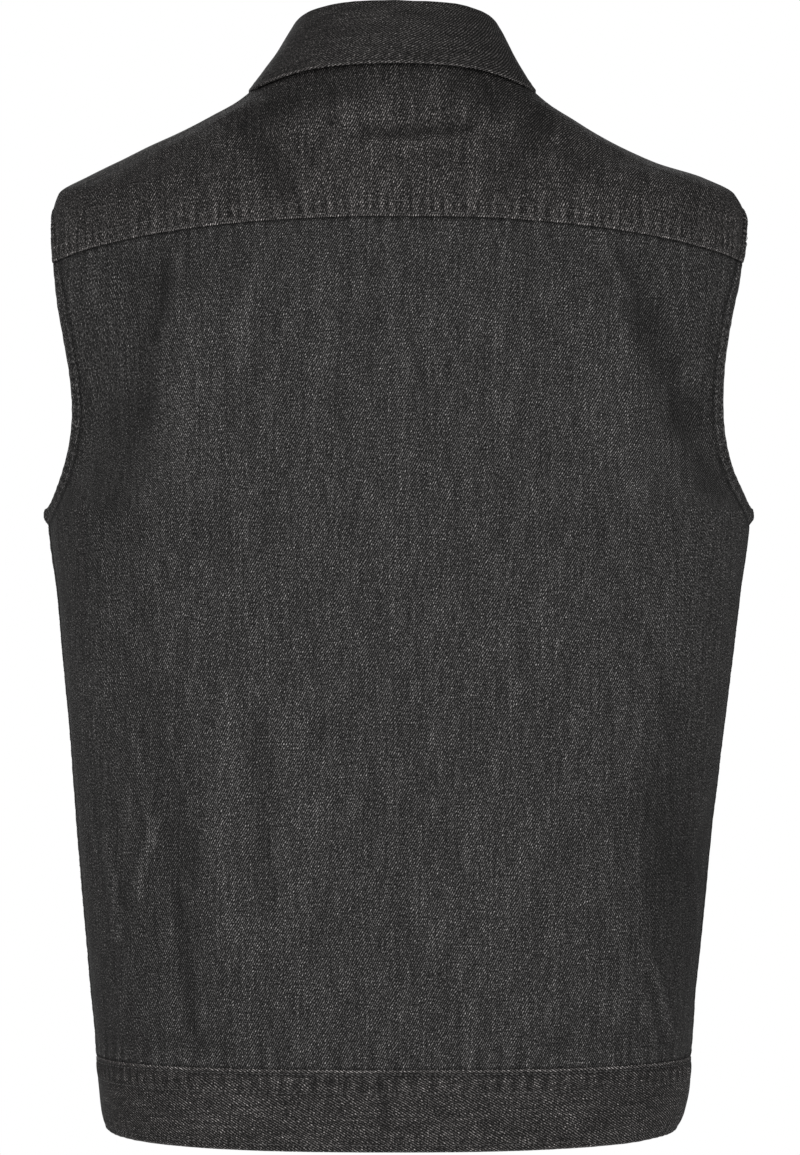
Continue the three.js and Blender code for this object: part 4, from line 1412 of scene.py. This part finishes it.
BUTTON_CAP = 8.5
BUTTON_CROWN = 2.6
SHANK_DEPTH = 2.2
BUTTON_LIFT = 0.3
CAP_SIDES = 56
CAP_PROFILE = [
    (0.30, -1.00), (0.34, -0.60), (0.36, -0.02), (0.80, -0.02), (0.90, 0.02), (0.97, 0.14),
    (1.00, 0.36), (0.995, 0.56), (0.965, 0.74), (0.92, 0.84), (0.87, 0.85), (0.83, 0.78),
    (0.79, 0.66), (0.72, 0.62), (0.64, 0.63), (0.585, 0.68), (0.56, 0.76), (0.52, 0.80),
    (0.48, 0.76), (0.455, 0.70), (0.40, 0.74), (0.30, 0.86), (0.18, 0.95), (0.07, 0.99), (0.0, 1.0),
]


def add_button(number, point, facing):
    reach, rise = np.array(CAP_PROFILE).T
    radius = reach[:, None, None] * BUTTON_CAP
    height = (rise * np.where(rise < -0.1, SHANK_DEPTH, BUTTON_CROWN))[:, None, None]
    right, up = right_and_up(facing)
    turns = full_turn(CAP_SIDES)[None, :, None]
    centre = point + facing * BUTTON_LIFT
    grid = centre + height * facing + radius * (np.cos(turns) * right + np.sin(turns) * up)
    rings = len(reach) - 1
    points = np.concatenate([grid[:rings].reshape(-1, 3), grid[-1:, 0]])
    index = np.arange(rings * CAP_SIDES).reshape(rings, CAP_SIDES)
    after = np.roll(index, -1, axis=1)
    sides = np.stack([index[:-1], index[1:], after[1:], after[:-1]], -1).reshape(-1, 4).tolist()
    crown = [(int(a), len(points) - 1, int(b)) for a, b in zip(index[-1], after[-1])]
    mesh = bpy.data.meshes.new(f"button_cap_{number}")
    mesh.from_pydata((points * MM).tolist(), [], sides + crown + [index[0].tolist()])
    ridge = bell(reach[:rings], 0.93, 0.05) + 0.8 * bell(reach[:rings], 0.52, 0.04)
    worn = np.concatenate([np.repeat(ridge, CAP_SIDES), [0.6]]).astype(np.float32)
    mesh.attributes.new("worn", "FLOAT", "POINT").data.foreach_set("value", worn)
    mesh.materials.append(metal)
    add_piece(mesh, f"button_{number}")


for number, seat in enumerate(seats, start=1):
    add_button(number, *seat)

# Camera, at the photograph's place

CAMERA_DISTANCE = 4.2
CAMERA_HEIGHT = -0.295
PHOTO_HEIGHT = 1155
FOCAL_PIXELS = 6908
SENSOR = 36.0

camera_data = bpy.data.cameras.new("camera")
camera_data.sensor_width = SENSOR
camera_data.sensor_fit = "AUTO"
camera_data.lens = FOCAL_PIXELS * SENSOR / PHOTO_HEIGHT
camera_data.clip_end = 100
camera = add_object(camera_data)
camera.location = (0, CAMERA_DISTANCE, CAMERA_HEIGHT)
camera.rotation_euler = (math.radians(90), 0, math.radians(180))
bpy.context.scene.camera = camera

# Light: a white surrounding that lights the vest softly, and a lamp on either side

VEST_MIDDLE = Vector((0, 0, -0.3))
SKY_SEEN = 1.0
SKY_FELT = 0.24

scene.view_settings.view_transform = "Standard"
world = bpy.data.worlds.new("world")
sky = Graph(world)
world.cycles.sampling_method = "NONE"
scene.world = world
seen = sky.add("ShaderNodeBackground", {"Color": WHITE, "Strength": SKY_SEEN})
felt = sky.add("ShaderNodeBackground", {"Color": WHITE, "Strength": SKY_FELT})
by_camera = sky.add("ShaderNodeLightPath").outputs["Is Camera Ray"]
mix = sky.add("ShaderNodeMixShader", {0: by_camera, 1: felt.outputs[0], 2: seen.outputs[0]})
sky.add("ShaderNodeOutputWorld", {"Surface": mix.outputs[0]})


def add_softbox(name, place, size, power):
    data = bpy.data.lights.new(name, "AREA")
    data.shape = "RECTANGLE"
    data.size, data.size_y = size
    data.energy = power
    lamp = add_object(data)
    lamp.location = place
    lamp.rotation_euler = (VEST_MIDDLE - Vector(place)).to_track_quat("-Z", "Y").to_euler()


add_softbox("key", (0.1, 3.0, 0.5), (1.4, 2.0), 70)
add_softbox("front_fill", (0.4, -3.2, 0.6), (2.0, 2.2), 84)

# Floor

FLOOR_HALF = 2.6
FLOOR_HEIGHT = -0.95
corners = [(x * FLOOR_HALF, y * FLOOR_HALF) for x, y in ((-1, -1), (1, -1), (1, 1), (-1, 1))]
floor_mesh = bpy.data.meshes.new("floor")
floor_mesh.from_pydata([(x, y, FLOOR_HEIGHT) for x, y in corners], [], [(0, 1, 2, 3)])
floor_mesh.materials.append(Graph(bpy.data.materials.new("floor_pale")).surface({
    "Roughness": 0.9,
    "Base Color": PALE,
    "Emission Color": WHITE,
    "Emission Strength": 0.22,
}))
add_object(floor_mesh)
